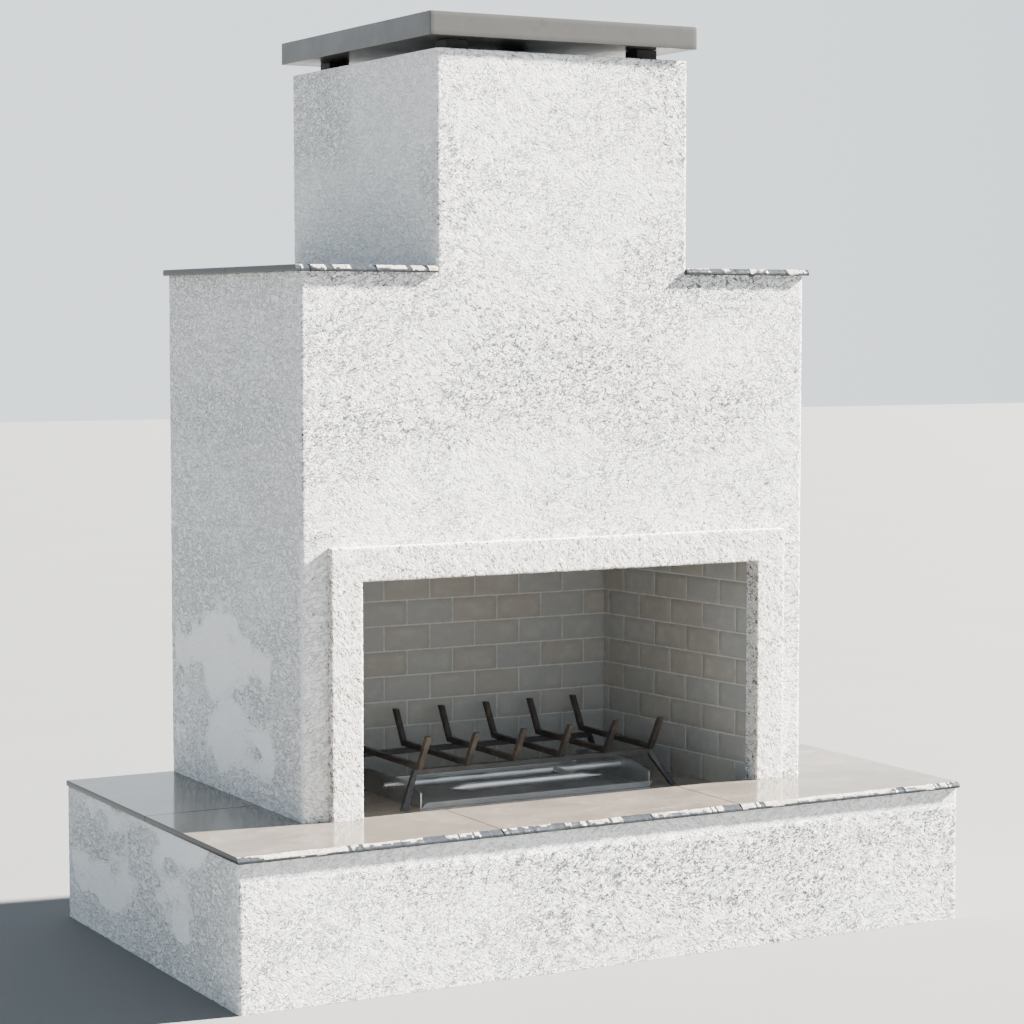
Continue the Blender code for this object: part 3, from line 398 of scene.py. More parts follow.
# dark and bright tone and roughness of each kind of steel
steelLook = {
    "sheet": ((0.44, 0.45, 0.46), (0.53, 0.54, 0.545), (0.44, 0.52)),
    "tube": ((0.60, 0.61, 0.62), (0.72, 0.73, 0.73), (0.36, 0.44)),
    "brush": ((0.09, 0.0013, 0.0013), 2.0, 0.6), "brushSpan": (0.4, 0.7), "brushShare": 0.3,
    "smudge": ((0.09, 0.06, 0.06), 4.0, 0.6, 0.6, 6.0), "smudgeSpan": (0.3, 0.7),
    "roughSpan": (0.3, 0.72), "bump": (0.00001, 0.2), "shader": {"Metallic": 1.0},
}


def paintStainless(name, kind):
    paint, look = Paint(name, steelLook["shader"]), steelLook
    dark, bright, roughness = look[kind]
    brush, smudge = paint.speckle(*look["brush"]), paint.speckle(*look["smudge"])
    tone = paint.tint(dark, bright, smudge, look["smudgeSpan"])
    tone = paint.tint(tone, dark, brush, look["brushSpan"], look["brushShare"])
    return paint.finish(tone, paint.step(smudge, look["roughSpan"], roughness),
                        paint.bump(brush, *look["bump"]))


def makeFinishes():
    return {
        "stucco": paintStucco("sunlitWhiteStucco", stuccoLook),
        "shadeStucco": paintStucco("shadedSideStucco", shadeLook),
        "surround_stucco": paintStucco("creamStucco", creamLook),
        "stone_tile": paintTile("polishedTile"),
        "paintedLightFloorTile": paintTile("fireboxFloorTilePaintedLight", tileLook["floorPaintedLight"]),
        "splitStone": paintStoneEdge("splitTileEdge", splitLook),
        "shadedEdgeStone": paintStoneEdge("paintedShadeTileEdge", shadedEdgeLook),
        "cement_board": paintBoard("cementBoard"),
        "concrete": paintConcrete("castConcrete"),
        "fire_brick": paintBrick("fireBrick"),
        "galvanised": paintZinc("zincSheet"),
        "black_steel": paintBar("logBar", "log"),
        "legSteel": paintBar("legBar", "leg"),
        "postSteel": paintBar("capPostBar", "post"),
        "stainless": paintStainless("satinSheet", "sheet"),
        "tubeSteel": paintStainless("satinTube", "tube"),
    }


# Shapes shared by several pieces

touch = 1e-7        # places nearer than this are one
nothing = 1e-9      # a length that counts as none
lineDigits = 6      # grid lines are rounded to this many digits
kindDigits = 4      # and the lines that name a kind of edge to this many
panel = {
    "shade": 55,                         # sharp where it turns by more degrees than this
    "arrisShares": (0.25, 0.5, 1.0),     # extra lines beside a rounded arris, in radii
    "mitreCut": 0.293,                   # how much of that arris a mitre cuts away, in radii
    "mitreReach": 3,                     # how far a mitre thins the panel, in thicknesses
}
hashing = {"axes": (374761393, 668265263, 1103515245), "seed": 144665, "twist": 1274126177,
           "shifts": (13, 16), "mask": 0xFFFFFFFF, "low": 0xFFFF}


def latticeValue(cells, seed):
    # a repeatable number from -1 to 1 for each whole-number cell
    early, late = hashing["shifts"]
    mixed = sum(cells[..., axis] * factor for axis, factor in enumerate(hashing["axes"]))
    mixed = (mixed + seed * hashing["seed"]) & hashing["mask"]
    mixed = ((mixed ^ (mixed >> early)) * hashing["twist"]) & hashing["mask"]
    return ((mixed ^ (mixed >> late)) & hashing["low"]) / (hashing["low"] / 2) - 1


def lumps(points, size, seed):
    # smooth noise from about -1 to 1 with lumps of this size, one for all or along X, Y and Z
    spots = points / np.array(size)
    cells = np.floor(spots).astype(np.int64)
    part = spots - cells
    part = part * part * (3 - 2 * part)
    total = np.zeros(len(points))
    for corner in np.ndindex(2, 2, 2):
        weight = np.prod(np.where(corner, part, 1 - part), axis=1)
        total += weight * latticeValue(cells + np.array(corner), seed)
    return total


def wavy(points, height, size, seed):
    # in the dictionaries below a wave gives its height, its lump size and its seed
    return height * lumps(points, size, seed)


def ease(low, high, value):
    part = np.clip((value - low) / (high - low), 0, 1)
    return part * part * (3 - 2 * part)


def addPiece(name, points, faces, body, materials, fields=None):
    mesh = bpy.data.meshes.new(name)
    mesh.from_pydata(points, [], faces)
    for material in materials:
        mesh.materials.append(material)
    for field, values in (fields or {}).items():
        made = mesh.attributes.new(field, "FLOAT", "POINT")
        made.data.foreach_set("value", np.asarray(values, np.float32))
    mesh.update()
    piece = bpy.data.objects.new(name, mesh)
    bpy.context.scene.collection.objects.link(piece)
    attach(piece, body)
    return piece


def smoothShade(piece, angle):
    piece.data.shade_smooth()
    piece.data.set_sharp_from_angle(angle=math.radians(angle))


def arrisSteps(arris):
    return [arris * share for share in panel["arrisShares"]]


def gridLines(breaks, cell, tight=(), steps=()):
    # lines through every break, at most a cell apart, with extra ones beside the tight places
    lines = set(breaks)
    for spot in tight:
        for step in steps:
            lines |= {spot - step, spot + step}
    lines = sorted({round(line, lineDigits) for line in lines
                    if min(breaks) - touch < line < max(breaks) + touch})
    full = []
    for start, end in zip(lines, lines[1:]):
        count = max(1, math.ceil((end - start) / cell - 10 ** -lineDigits))
        full += list(np.linspace(start, end, count + 1)[:-1])
    return np.array(full + [lines[-1]])


def edgeKinds(axis, spots, kind):
    # names the panel edges that lie on these lines: mitre, round or flush
    return {(axis, round(spot, kindDigits)): kind for spot in spots}


def outlineRuns(inside):
    # straight runs of the outline: axis, line, outward sign, first and last place along it
    runs = []
    for axis, cells in ((0, inside), (1, inside.T)):
        padded = np.pad(cells.astype(int), ((1, 1), (0, 0)))
        change = padded[:-1] - padded[1:]
        for line in range(len(change)):
            for sign in (1, -1):
                hits = np.nonzero(change[line] == sign)[0]
                for run in np.split(hits, np.nonzero(np.diff(hits) > 1)[0] + 1):
                    if len(run):
                        runs.append((axis, line, sign, run[0], run[-1] + 1))
    return runs


def coatedPanel(name, node, plane, uLines, vLines, rects, kinds, thickness, radius, relief,
                material, returns=2):
    # a closed panel: relief on its face, rounded or mitred arrises, and a flat back
    # plane gives a point on the face and the directions along, up and outward; rects give the
    # parts that the panel fills; returns counts the rings of faces down its sides
    origin, along, rise, outward = (np.array(part, float) for part in plane)
    uMid, vMid = (uLines[1:] + uLines[:-1]) / 2, (vLines[1:] + vLines[:-1]) / 2
    inside = np.zeros((len(uMid), len(vMid)), bool)
    for left, right, low, high in rects:
        inside |= (((uMid > left) & (uMid < right))[:, None]
                   & ((vMid > low) & (vMid < high))[None, :])
    shape = (len(uLines), len(vLines))
    spread = np.zeros((*shape, 2))           # rounding towards the nearest arrises
    mitred, flush = np.zeros(shape, bool), np.zeros((*shape, 2))
    shown = np.zeros(shape, bool)            # outline with relief on its sides too
    nextTo, mitreLines = {}, []              # the outline's order, anticlockwise
    for axis, line, sign, first, last in outlineRuns(inside):
        lines = (uLines, vLines)[axis]
        kind = kinds.get((axis, round(float(lines[line]), kindDigits)), "plain")
        runAt = slice(first, last + 1)
        if kind in ("mitre", "round"):
            reach = (lines[line] - lines) * sign
            push = np.where(reach > -touch, np.clip(radius - reach, 0, None), 0) * sign
            block = (slice(None), runAt) if axis == 0 else (runAt, slice(None))
            push = push[:, None] if axis == 0 else push[None, :]
            spread[..., axis][block] += push * np.ones(spread[..., axis][block].shape)
        edge = (line, runAt) if axis == 0 else (runAt, line)
        if kind == "mitre":
            mitred[edge] = True
            mitreLines.append((lines[line], sign, vLines[first], vLines[last]))
        if kind == "flush":
            flush[..., axis][edge] = sign
        if kind in ("round", "flush"):
            shown[edge] = True
        for place in range(first, last):
            ends = [(line, place), (line, place + 1)]
            if axis == 1:
                ends = [(place + 1, line), (place, line)]
            nextTo[ends[0] if sign > 0 else ends[1]] = ends[1] if sign > 0 else ends[0]
    spread = np.clip(spread, -radius, radius)

    # the face, leaning back towards its rounded arrises
    used = np.zeros(shape, bool)
    for du in (0, 1):
        for dv in (0, 1):
            used[du:shape[0] - 1 + du, dv:shape[1] - 1 + dv] |= inside
    ids = -np.ones(shape, int)
    ids[used] = np.arange(used.sum())
    at = np.argwhere(used)
    i, j = at[:, 0], at[:, 1]
    flat = np.stack([uLines[i], vLines[j], np.zeros(len(at))], 1)
    lean = np.concatenate([spread[i, j], np.full((len(at), 1), radius)], 1)
    size = np.linalg.norm(lean, axis=1)[:, None]
    front = flat - lean + radius * lean / size
    pull = lean / size
    pull[:, :2] += flush[i, j]

    # rings of points down the sides to the flat back
    loop, spot = [], next(iter(nextTo))
    while not loop or spot != loop[0]:
        loop.append(spot)
        spot = nextTo[spot]
    bi, bj = np.array(loop).T
    depths = [thickness]
    if returns > 1:
        depths = arrisSteps(radius) + list(np.linspace(radius, thickness, returns + 1)[1:])
    rows, pulls = [front], [pull]
    base = np.stack([uLines[bi], vLines[bj]], 1)
    for depth in depths:
        leaned = np.concatenate([spread[bi, bj], np.full((len(bi), 1), max(radius - depth, 0))], 1)
        rounded = (np.abs(leaned[:, :2]) > nothing).any(1)
        span = np.maximum(np.linalg.norm(leaned, axis=1), nothing)[:, None]
        spots = np.column_stack([base, np.full(len(base), -depth)])
        wall = np.where(rounded[:, None], spots - leaned + radius * leaned / span, spots)
        # towards a mitre the panel narrows with depth, so that its neighbour fits beside it
        cut = panel["mitreCut"] * radius
        inset = cut + (thickness - cut) * depth / thickness
        for line, sign, low, high in mitreLines:
            reach = (line - base[:, 0]) * sign
            close = (reach > -touch) & (base[:, 1] > low - touch) & (base[:, 1] < high + touch)
            share = 1 - reach / (panel["mitreReach"] * thickness)
            share = np.where(close, np.clip(share, 0, 1), 0)
            shift = base[:, 0] - sign * share * inset
            wall[:, 0] = np.where(share > 0, shift, wall[:, 0])
        wall[:, 2] = np.where(mitred[bi, bj], -inset, wall[:, 2])
        turn = leaned / span + np.column_stack([flush[bi, bj], np.zeros(len(bi))])
        turn[mitred[bi, bj] | ~shown[bi, bj]] = 0
        if depth == depths[-1] and returns > 1:
            turn[:, 2] = 0
        rows.append(wall)
        pulls.append(turn)
    local, push = np.concatenate(rows), np.concatenate(pulls)
    basis = np.stack([along, rise, outward])
    points, turned = origin + local @ basis, push @ basis
    height, fields = relief(points)
    points = points + turned * height[:, None]

    # faces of the front, the sides and the back
    ci, cj = np.nonzero(inside)
    faces = np.stack([ids[ci, cj], ids[ci + 1, cj], ids[ci + 1, cj + 1], ids[ci, cj + 1]],
                     1).tolist()
    last = ids[bi, bj]
    for row in range(len(depths)):
        here = len(front) + row * len(loop) + np.arange(len(loop))
        faces += np.stack([np.roll(last, -1), last, here, np.roll(here, -1)], 1).tolist()
        last = here
    faces.append(list(last[::-1]))
    piece = addPiece(name, points.tolist(), faces, "fireplace", [material], fields)
    smoothShade(piece, panel["shade"])
    piece.data.polygons[len(faces) - 1].use_smooth = False
    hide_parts(node)


soften = {
    "weld": 1e-5, "profile": 0.5,
    "flatTurn": 0.5, "sharpTurn": 25, "shade": 40, "smallShade": 50,     # degrees
    "flatWidth": 0.004,     # wider faces stay flat-shaded, narrower ones are curves
}


def meshPiece(name, shape, body, material, angle=soften["smallShade"]):
    shape.verts.index_update()
    points = [tuple(spot.co) for spot in shape.verts]
    faces = [[spot.index for spot in face.verts] for face in shape.faces]
    shape.free()
    piece = addPiece(name, points, faces, body, [material])
    smoothShade(piece, angle)
    return piece


def dressNode(node, name, body, material, softness, segments=2):
    # the CAD shape, welded, with its flat faces whole again and every sharp arris softened
    shape = bmesh.new()
    shape.from_mesh(frame["nodes"][node].data)
    bmesh.ops.remove_doubles(shape, verts=shape.verts, dist=soften["weld"])
    bmesh.ops.dissolve_limit(shape, angle_limit=math.radians(soften["flatTurn"]),
                             verts=shape.verts, edges=shape.edges)
    edges = [edge for edge in shape.edges if edge.is_manifold
             and edge.calc_face_angle(0) > math.radians(soften["sharpTurn"])]
    bmesh.ops.bevel(shape, geom=edges, offset=softness, segments=segments,
                    profile=soften["profile"], affect="EDGES", clamp_overlap=True)
    piece = meshPiece(name, shape, body, material, soften["shade"])
    for face in piece.data.polygons:
        spots = [piece.data.vertices[index].co for index in face.vertices]
        rim = sum((spot - spots[place - 1]).length for place, spot in enumerate(spots))
        if 2 * face.area / rim > soften["flatWidth"]:
            face.use_smooth = False
    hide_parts(node)


def roundRun(shape, start, end, shares, radii, sides):
    # rings of these radii between two points, closed at both ends
    start, end = Vector(start), Vector(end)
    run = end - start
    turn = run.to_track_quat("Z", "Y")
    turns = [math.tau * side / sides for side in range(sides)]
    rings = [[shape.verts.new(start + run * share + turn @ Vector(
        (radius * math.cos(angle), radius * math.sin(angle), 0))) for angle in turns]
        for share, radius in zip(shares, radii)]
    shape.faces.new(rings[0][::-1])
    shape.faces.new(rings[-1])
    for before, after in zip(rings, rings[1:]):
        for side in range(sides):
            beyond = (side + 1) % sides
            shape.faces.new((before[side], before[beyond], after[beyond], after[side]))


# Stucco walls

coat = {
    "cell": 0.0052, "coarseCell": 0.0095, "level": 0.0056, "arris": 0.0040, "returns": 5,
    "wave": (0.0004, (0.30, 0.30, 0.22), 3), "lump": (0.00028, (0.048, 0.048, 0.018), 7),
    "crumb": 0.00060, "crumbWave": (2.0, (0.020, 0.020, 0.0092), 9), "crumbMean": 0.25,
    "crumbRange": (-0.8, 1.0), "slant": -0.42, "drift": (0.010, (0.09, 0.09, 0.06), 5),
    "zone": (1.0, (0.36, 0.36, 0.17), 11), "zoneSpan": (-0.45, 0.40), "calm": 0.55,
    "calmCover": 0.8,
}
# smears trowelled over the crumbs on the shaded side
smears = {
    "start": 0.12, "drop": 1.10, "dropReach": 0.20, "bodyDrop": 0.80, "plinthDrop": 0.42,
    "waves": ((0.85, (0.19, 0.19, 0.11), 21), (0.40, (0.070, 0.070, 0.040), 22),
              (0.12, (0.018, 0.018, 0.014), 23)),
    "foot": 1.1, "footSpan": (0.11, 0.03), "frontSpan": (0.05, 0.21), "backSpan": (0.0, 0.030),
    "none": -1.0, "ends": 1.2, "calm": 0.2, "span": (-0.30, 0.30), "height": 0.00036,
    "cover": 0.95,
}
# smoother, and with less painted pit shade, where the cast shadows of the surround and of the
# hearth tiles fall, beside the surround and on the plinth under the tiles: how much, and where it
# begins and is full along X, along Y and from below and above
castShadowCalmStrips = (
    (0.70, (-0.560, -0.590), (-0.230, -0.240), (0.30, 0.34), (0.96, 0.92)),
    (0.75, None, (-0.500, -0.510), (0.262, 0.275), (0.330, 0.320)),
)


def crumbled(points, look):
    # lumps with crumbs on them
    crumb = wavy(points, *look["crumbWave"]) + look["crumbMean"]
    return wavy(points, *look["lump"]) + look["crumb"] * np.clip(crumb, *look["crumbRange"])


def stuccoRelief(points, patches=None):
    x, y, z = points.T
    slanted = points.copy()
    slanted[:, 2] += coat["slant"] * x + wavy(points, *coat["drift"])
    calm = coat["calm"] * (1 - ease(*coat["zoneSpan"], wavy(points, *coat["zone"])))
    smear = np.full(len(points), smears["none"])
    if patches:
        # smooth fields with ragged borders low down
        frontY, backY, dropAt, foot = patches
        reach, (footFrom, footTo) = smears["dropReach"], smears["footSpan"]
        smear = smears["start"] - smears["drop"] * ease(dropAt - reach, dropAt + reach, z)
        smear = sum((wavy(points, *wave) for wave in smears["waves"]), smear)
        smear = smear - smears["foot"] * ease(foot + footFrom, foot + footTo, z)
        keep = ease(*smears["frontSpan"], y - frontY) * ease(*smears["backSpan"], backY - y)
        smear = smear * keep - (1 - keep) * smears["ends"]
        calm = np.minimum(calm, smears["calm"])
    for strip, *spans in castShadowCalmStrips:
        for span, value in zip(spans, (x, y, z, z)):
            if span:
                strip = strip * ease(*span, value)
        calm = np.maximum(calm, strip)
    smooth = ease(*smears["span"], smear)
    rough = (1 - coat["calmCover"] * calm) * (1 - smears["cover"] * smooth)
    height = (wavy(points, *coat["wave"]) + smears["height"] * smooth
              + rough * crumbled(slanted, coat))
    return height, {"calm": calm, "smear": smear}


def wallPlane(side, distance):
    # origin, along, rise and outward of a wall seen from its own side
    outward = {"front": (0, -1, 0), "back": (0, 1, 0), "left": (-1, 0, 0),
               "right": (1, 0, 0)}[side]
    return np.array(outward) * distance, np.cross(up, outward), up, outward


def stuccoWall(name, node, side, distance, uLines, vLines, rects, kinds, thickness, material,
               patches=None, returns=2):
    def relief(points):
        return stuccoRelief(points, patches)

    coatedPanel(name, node, wallPlane(side, distance), uLines, vLines, rects, kinds, thickness,
                coat["arris"], relief, material, returns)


def buildWalls(finishes):
    bodyLow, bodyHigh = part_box("front_panel")
    leftLow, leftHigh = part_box("body_left_panel")
    half, frontY, backY = bodyHigh.x, bodyLow.y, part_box("back_panel")[1].y
    chimneyHalf, footHalf = -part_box("chimney_left_panel")[0].x, -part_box("firebox_slab")[0].x
    base, shoulder, foot, top = leftLow.z, leftHigh.z, bodyLow.z, bodyHigh.z
    openHalf = -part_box("surround")[0].x - surroundLook["width"]
    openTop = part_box("surround")[1].z - surroundLook["width"]
    thickness, near = half + leftHigh.x, arrisSteps(coat["arris"])
    levels = gridLines([foot, base, openTop, shoulder, top], coat["level"], [top], near)

    def levelsFrom(low, high):
        return levels[(levels > low - touch) & (levels < high + touch)]

    corners = [-half, -chimneyHalf, chimneyHalf, half]
    rounded = edgeKinds(1, [top], "round")
    kinds = edgeKinds(0, corners, "mitre") | rounded
    doorway = edgeKinds(0, (-openHalf, openHalf), "flush") | edgeKinds(1, [openTop], "flush")
    uLines = gridLines([*corners, -footHalf, -openHalf, openHalf, footHalf], coat["cell"],
                       corners, near)
    rects = [(-half, -openHalf, base, shoulder), (openHalf, half, base, shoulder),
             (-openHalf, openHalf, openTop, shoulder), (-chimneyHalf, chimneyHalf, shoulder, top),
             (-footHalf, -openHalf, foot, base), (openHalf, footHalf, foot, base)]
    stuccoWall("frontWall", "front_panel", "front", -frontY, uLines, levels, rects,
               kinds | doorway, thickness, finishes["stucco"], returns=coat["returns"])
    uLines = gridLines(corners, coat["coarseCell"], corners, near)
    rects = [(-half, half, base, shoulder), (-chimneyHalf, chimneyHalf, shoulder, top)]
    # the walls in shade get the shaded copy, with less painted pit shade
    shaded = finishes["shadeStucco"]
    stuccoWall("backWall", "back_panel", "back", backY, uLines, levelsFrom(base, top), rects,
               kinds, thickness, shaded)
    for side, sign in (("left", -1), ("right", 1)):
        # seen from the right the front is at the left end, seen from the left at the right end
        ends = sorted((sign * frontY, sign * backY))
        uLines = gridLines(ends, coat["cell" if side == "left" else "coarseCell"], ends, near)
        kinds = edgeKinds(0, ends, "mitre")
        patches = (frontY, backY, smears["bodyDrop"], base) if side == "left" else None
        stuccoWall(side + "BodyWall", "body_" + side + "_panel", side, half, uLines,
                   levelsFrom(base, shoulder), [(*ends, base, shoulder)], kinds, thickness,
                   shaded, patches)
        stuccoWall(side + "ChimneyWall", "chimney_" + side + "_panel", side, chimneyHalf, uLines,
                   levelsFrom(shoulder, top), [(*ends, shoulder, top)], kinds | rounded,
                   thickness, shaded)


def buildPlinth(finishes):
    low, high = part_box("plinth_front_panel")
    frontY, backY, half, top = low.y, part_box("plinth_back_panel")[1].y, high.x, high.z
    levels = gridLines([0.0, top], coat["level"])
    for side, ends, distance in (("front", (-half, half), -frontY), ("back", (-half, half), backY),
                                 ("left", (-backY, -frontY), half),
                                 ("right", (frontY, backY), half)):
        cell = coat["cell" if side in ("front", "left") else "coarseCell"]
        uLines = gridLines(ends, cell, ends, arrisSteps(coat["arris"]))
        patches = (frontY, backY, smears["plinthDrop"], 0.0) if side == "left" else None
        stuccoWall(side + "PlinthWall", "plinth_" + side + "_panel", side, distance, uLines,
                   levels, [(*ends, 0.0, top)], edgeKinds(0, ends, "mitre"), high.y - low.y,
                   finishes["stucco" if side == "front" else "shadeStucco"], patches)


surroundLook = {
    "width": 0.0755, "cell": 0.0042, "arris": 0.0026, "slant": 1.1, "returns": 4,
    "lump": (0.00020, (0.030, 0.030, 0.018), 31), "crumb": 0.00022,
    "crumbWave": (2.0, (0.0130, 0.0130, 0.0085), 32), "crumbMean": 0.2,
    "crumbRange": (-0.9, 0.9), "calm": 0.05, "smear": -1.0,
}


def surroundRelief(points):
    slanted = points.copy()
    slanted[:, 2] += surroundLook["slant"] * points[:, 0]
    return crumbled(slanted, surroundLook), {word: np.full(len(points), surroundLook[word])
                                             for word in ("calm", "smear")}


def buildSurround(finishes):
    low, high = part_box("surround")
    width, cell, arris = (surroundLook[word] for word in ("width", "cell", "arris"))
    near = arrisSteps(arris)
    openHalf, openTop = high.x - width, high.z - width
    sides, levels = [-high.x, -openHalf, openHalf, high.x], [openTop, high.z]
    rects = [(-high.x, -openHalf, low.z, high.z), (openHalf, high.x, low.z, high.z),
             (-openHalf, openHalf, openTop, high.z)]
    coatedPanel("openingSurround", "surround", wallPlane("front", -low.y),
                gridLines(sides, cell, sides, near),
                gridLines([low.z, *levels], cell, levels, near), rects,
                edgeKinds(0, sides, "round") | edgeKinds(1, levels, "round"),
                high.y - low.y, arris, surroundRelief,
                finishes["surround_stucco"], surroundLook["returns"])


# Tiles

tileShape = {
    "step": 0.0045, "heights": (0.0, 0.06, 0.18, 0.36, 0.58, 0.78, 0.93, 1.0),
    "split": (0.0085, 0.0072, 0.0046, 0.0018, 0.0004, 0.0, 0.0, 0.0004),
    "turn": 2.3, "turnWave": (2.2, (0.075, 1, 1), 45), "turnTooth": (1.2, (0.012, 1, 1), 46),
    "facet": 0.0014, "facetShare": 0.40, "facetWave": (2.2, (0.042, 1, 1), 41),
    "chip": 0.0045, "chipWave": (1.0, (0.026, 1, 1), 43), "chipSpan": (0.26, 0.44),
    "chipFoot": 0.10, "chipShadeAt": 0.75, "crack": 0.0016, "crackWave": (1.0, (0.012, 1, 1), 44),
    "crackSpan": (0.66, 0.76), "crackFoot": 0.2, "crackShadeAt": 0.6, "rough": 0.0004,
    "upperRough": 0.0011, "roughWave": (1.0, (0.008, 1, 0.4), 42), "upper": 0.6,
    "seedStep": 3.7, "levelStep": 0.35, "softness": 0.0007, "roundShare": 0.25, "angle": 35,
}


def splitShape(along, seed):
    # the broken edge at one place: how far it falls back and which stone shows at each height
    shape = tileShape
    spot = np.array([[along, seed * shape["seedStep"], 0.0]])

    def wave(word):
        return float(wavy(spot, *shape[word])[0])

    facet = round(wave("facetWave")) / shape["facetWave"][0]
    chip = float(ease(*shape["chipSpan"], wave("chipWave")))
    crack = float(ease(*shape["crackSpan"], abs(wave("crackWave"))))
    turn = shape["turn"] + wave("turnWave") + wave("turnTooth")
    insets = []
    for level, height in enumerate(shape["heights"]):
        spot[0, 2] = level * shape["levelStep"]
        rough = 1 + wave("roughWave")
        upper = max(0.0, 1 - height / shape["upper"])
        insets.append(shape["split"][level] * (1 + shape["facetShare"] * facet)
                      + (shape["rough"] + shape["upperRough"] * upper) * rough
                      + shape["facet"] * (facet + 1) * upper
                      + shape["chip"] * chip * (upper + shape["chipFoot"])
                      + shape["crack"] * crack * (upper + shape["crackFoot"]))
    # below the turn, and in deep chips and cracks, the edge takes the painted-shade stone
    dark = chip > shape["chipShadeAt"] or crack > shape["crackShadeAt"]
    return insets, [1 if level < turn and not dark else 2 for level in range(len(insets) - 1)]


def edgeShape(kind, along, thick, seed):
    # the same for any kind of edge; stone 0 is the polished face, stone 1 the broken one and stone
    # 2 painted shade
    heights = tileShape["heights"]
    if kind == "split":
        return splitShape(along, seed)
    if kind == "plain":
        insets = [tileShape["softness"] if height in (0.0, 1.0) else 0 for height in heights]
        return insets, [0] * len(heights)
    half = thick / 2
    insets = [tileShape["roundShare"]
              * (half - math.sqrt(max(half ** 2 - (half - height * thick) ** 2, 0)))
              for height in heights]
    # rounded side edges all take the painted-shade stone
    return insets, [2] * len(heights)


def stoneTile(name, node, corners, kinds, seed, finishes):
    # corners run anticlockwise in plan; each edge that starts at one is split, round or plain
    low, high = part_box(node)
    thick = high.z - low.z
    corners = [np.array(corner) for corner in corners]
    edges = []
    for start, end, kind in zip(corners, corners[1:] + corners[:1], kinds):
        run = end - start
        length = np.linalg.norm(run)
        edges.append((start, run, length, np.array((-run[1], run[0])) / length, kind))
    outline = []
    for index, (start, run, length, inward, kind) in enumerate(edges):
        count = max(1, round(length / tileShape["step"])) if kind == "split" else 1
        for step in range(count):
            insets, stones = edgeShape(kind, step * length / count, thick, seed)
            sides = [(inward, insets)]
            if step == 0:
                _, _, before, turned, kindBefore = edges[index - 1]
                sides.append((turned, edgeShape(kindBefore, before, thick, seed)[0]))
            outline.append((start + run * step / count, sides, stones))
    points, count = [], len(outline)
    for level, height in enumerate(tileShape["heights"]):
        for spot, sides, _ in outline:
            for inward, insets in sides:
                spot = spot + inward * insets[level]
            points.append((*spot, high.z - height * thick))
    faces = [list(range(count)), [len(points) - 1 - step for step in range(count)]]
    stones = [0, 0]
    for level in range(len(tileShape["heights"]) - 1):
        for step in range(count):
            here, after = level * count, (step + 1) % count
            faces.append([here + after, here + step, here + count + step, here + count + after])
            stones.append(outline[step][2][level])
    piece = addPiece(name, points, faces, "fireplace",
                     [finishes[word] for word in ("stone_tile", "splitStone", "shadedEdgeStone")])
    smoothShade(piece, tileShape["angle"])
    for index, (face, stone) in enumerate(zip(piece.data.polygons, stones)):
        face.material_index = stone
        face.use_smooth = index > 1 and not stone
    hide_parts(node)


def tilePair(label, node, corners, kinds, seed, finishes):
    # a left tile and its mirror image on the right, still anticlockwise
    stoneTile("left" + label, node + "_left", corners, kinds, seed, finishes)
    flipped, turned = [(-x, y) for x, y in corners][::-1], kinds[::-1]
    stoneTile("right" + label, node + "_right", flipped, turned[1:] + turned[:1], seed + 1,
              finishes)


def planCorners(node):
    low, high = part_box(node)
    return [(low.x, low.y), (high.x, low.y), (high.x, high.y), (low.x, high.y)]


def buildTiles(finishes):
    low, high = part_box("hearth_tile_front_left")
    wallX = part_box("hearth_tile_rear_left")[1].x
    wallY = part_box("hearth_tile_front_middle")[1].y
    corners = [(low.x, low.y), (high.x, low.y), (high.x, wallY), (wallX, wallY),
               (wallX, high.y), (low.x, high.y)]
    tilePair("HearthTile", "hearth_tile_front", corners, ["split", *["plain"] * 4, "round"], 1,
             finishes)
    stoneTile("middleHearthTile", "hearth_tile_front_middle",
              planCorners("hearth_tile_front_middle"), ["split", *["plain"] * 3], 3, finishes)
    for label, node, first, seed in (("RearHearthTile", "hearth_tile_rear", "plain", 4),
                                     ("FrontShoulderTile", "shoulder_tile_front", "split", 6),
                                     ("RearShoulderTile", "shoulder_tile_rear", "plain", 8)):
        tilePair(label, node, planCorners(node + "_left"), [first, "plain", "plain", "round"],
                 seed, finishes)


# Firebox lining

brick = {
    "length": 0.125, "course": 0.0617, "joint": 0.0030, "recess": 0.0010, "cell": 0.0150,
    "jointLines": (0, 0.30, 0.75), "faceSpan": (0.28, 0.80), "jointSpan": (0.30, 0.58),
    "upright": 1.35, "proud": 0.00035, "rough": (0.00030, 0.022, 54),
    "ragged": (0.0004, 0.009, 51), "rimShadeWave": (0.004, 0.014, 55), "rimShadeSpan": (0.0015, 0.0150),
    "toneSeed": 52, "tiltSeed": 53, "backPhase": 0.0185, "sidePhase": 0.0197, "splay": 0.060,
    "cornerGap": 0.0010, "frontGap": 0.0003, "thickness": 0.029, "arris": 0.0001,
    "slot": 0.0042, "slotDepth": 0.012, "slotLine": 1.1, "slotReach": 1.05, "slotShade": 9,
}


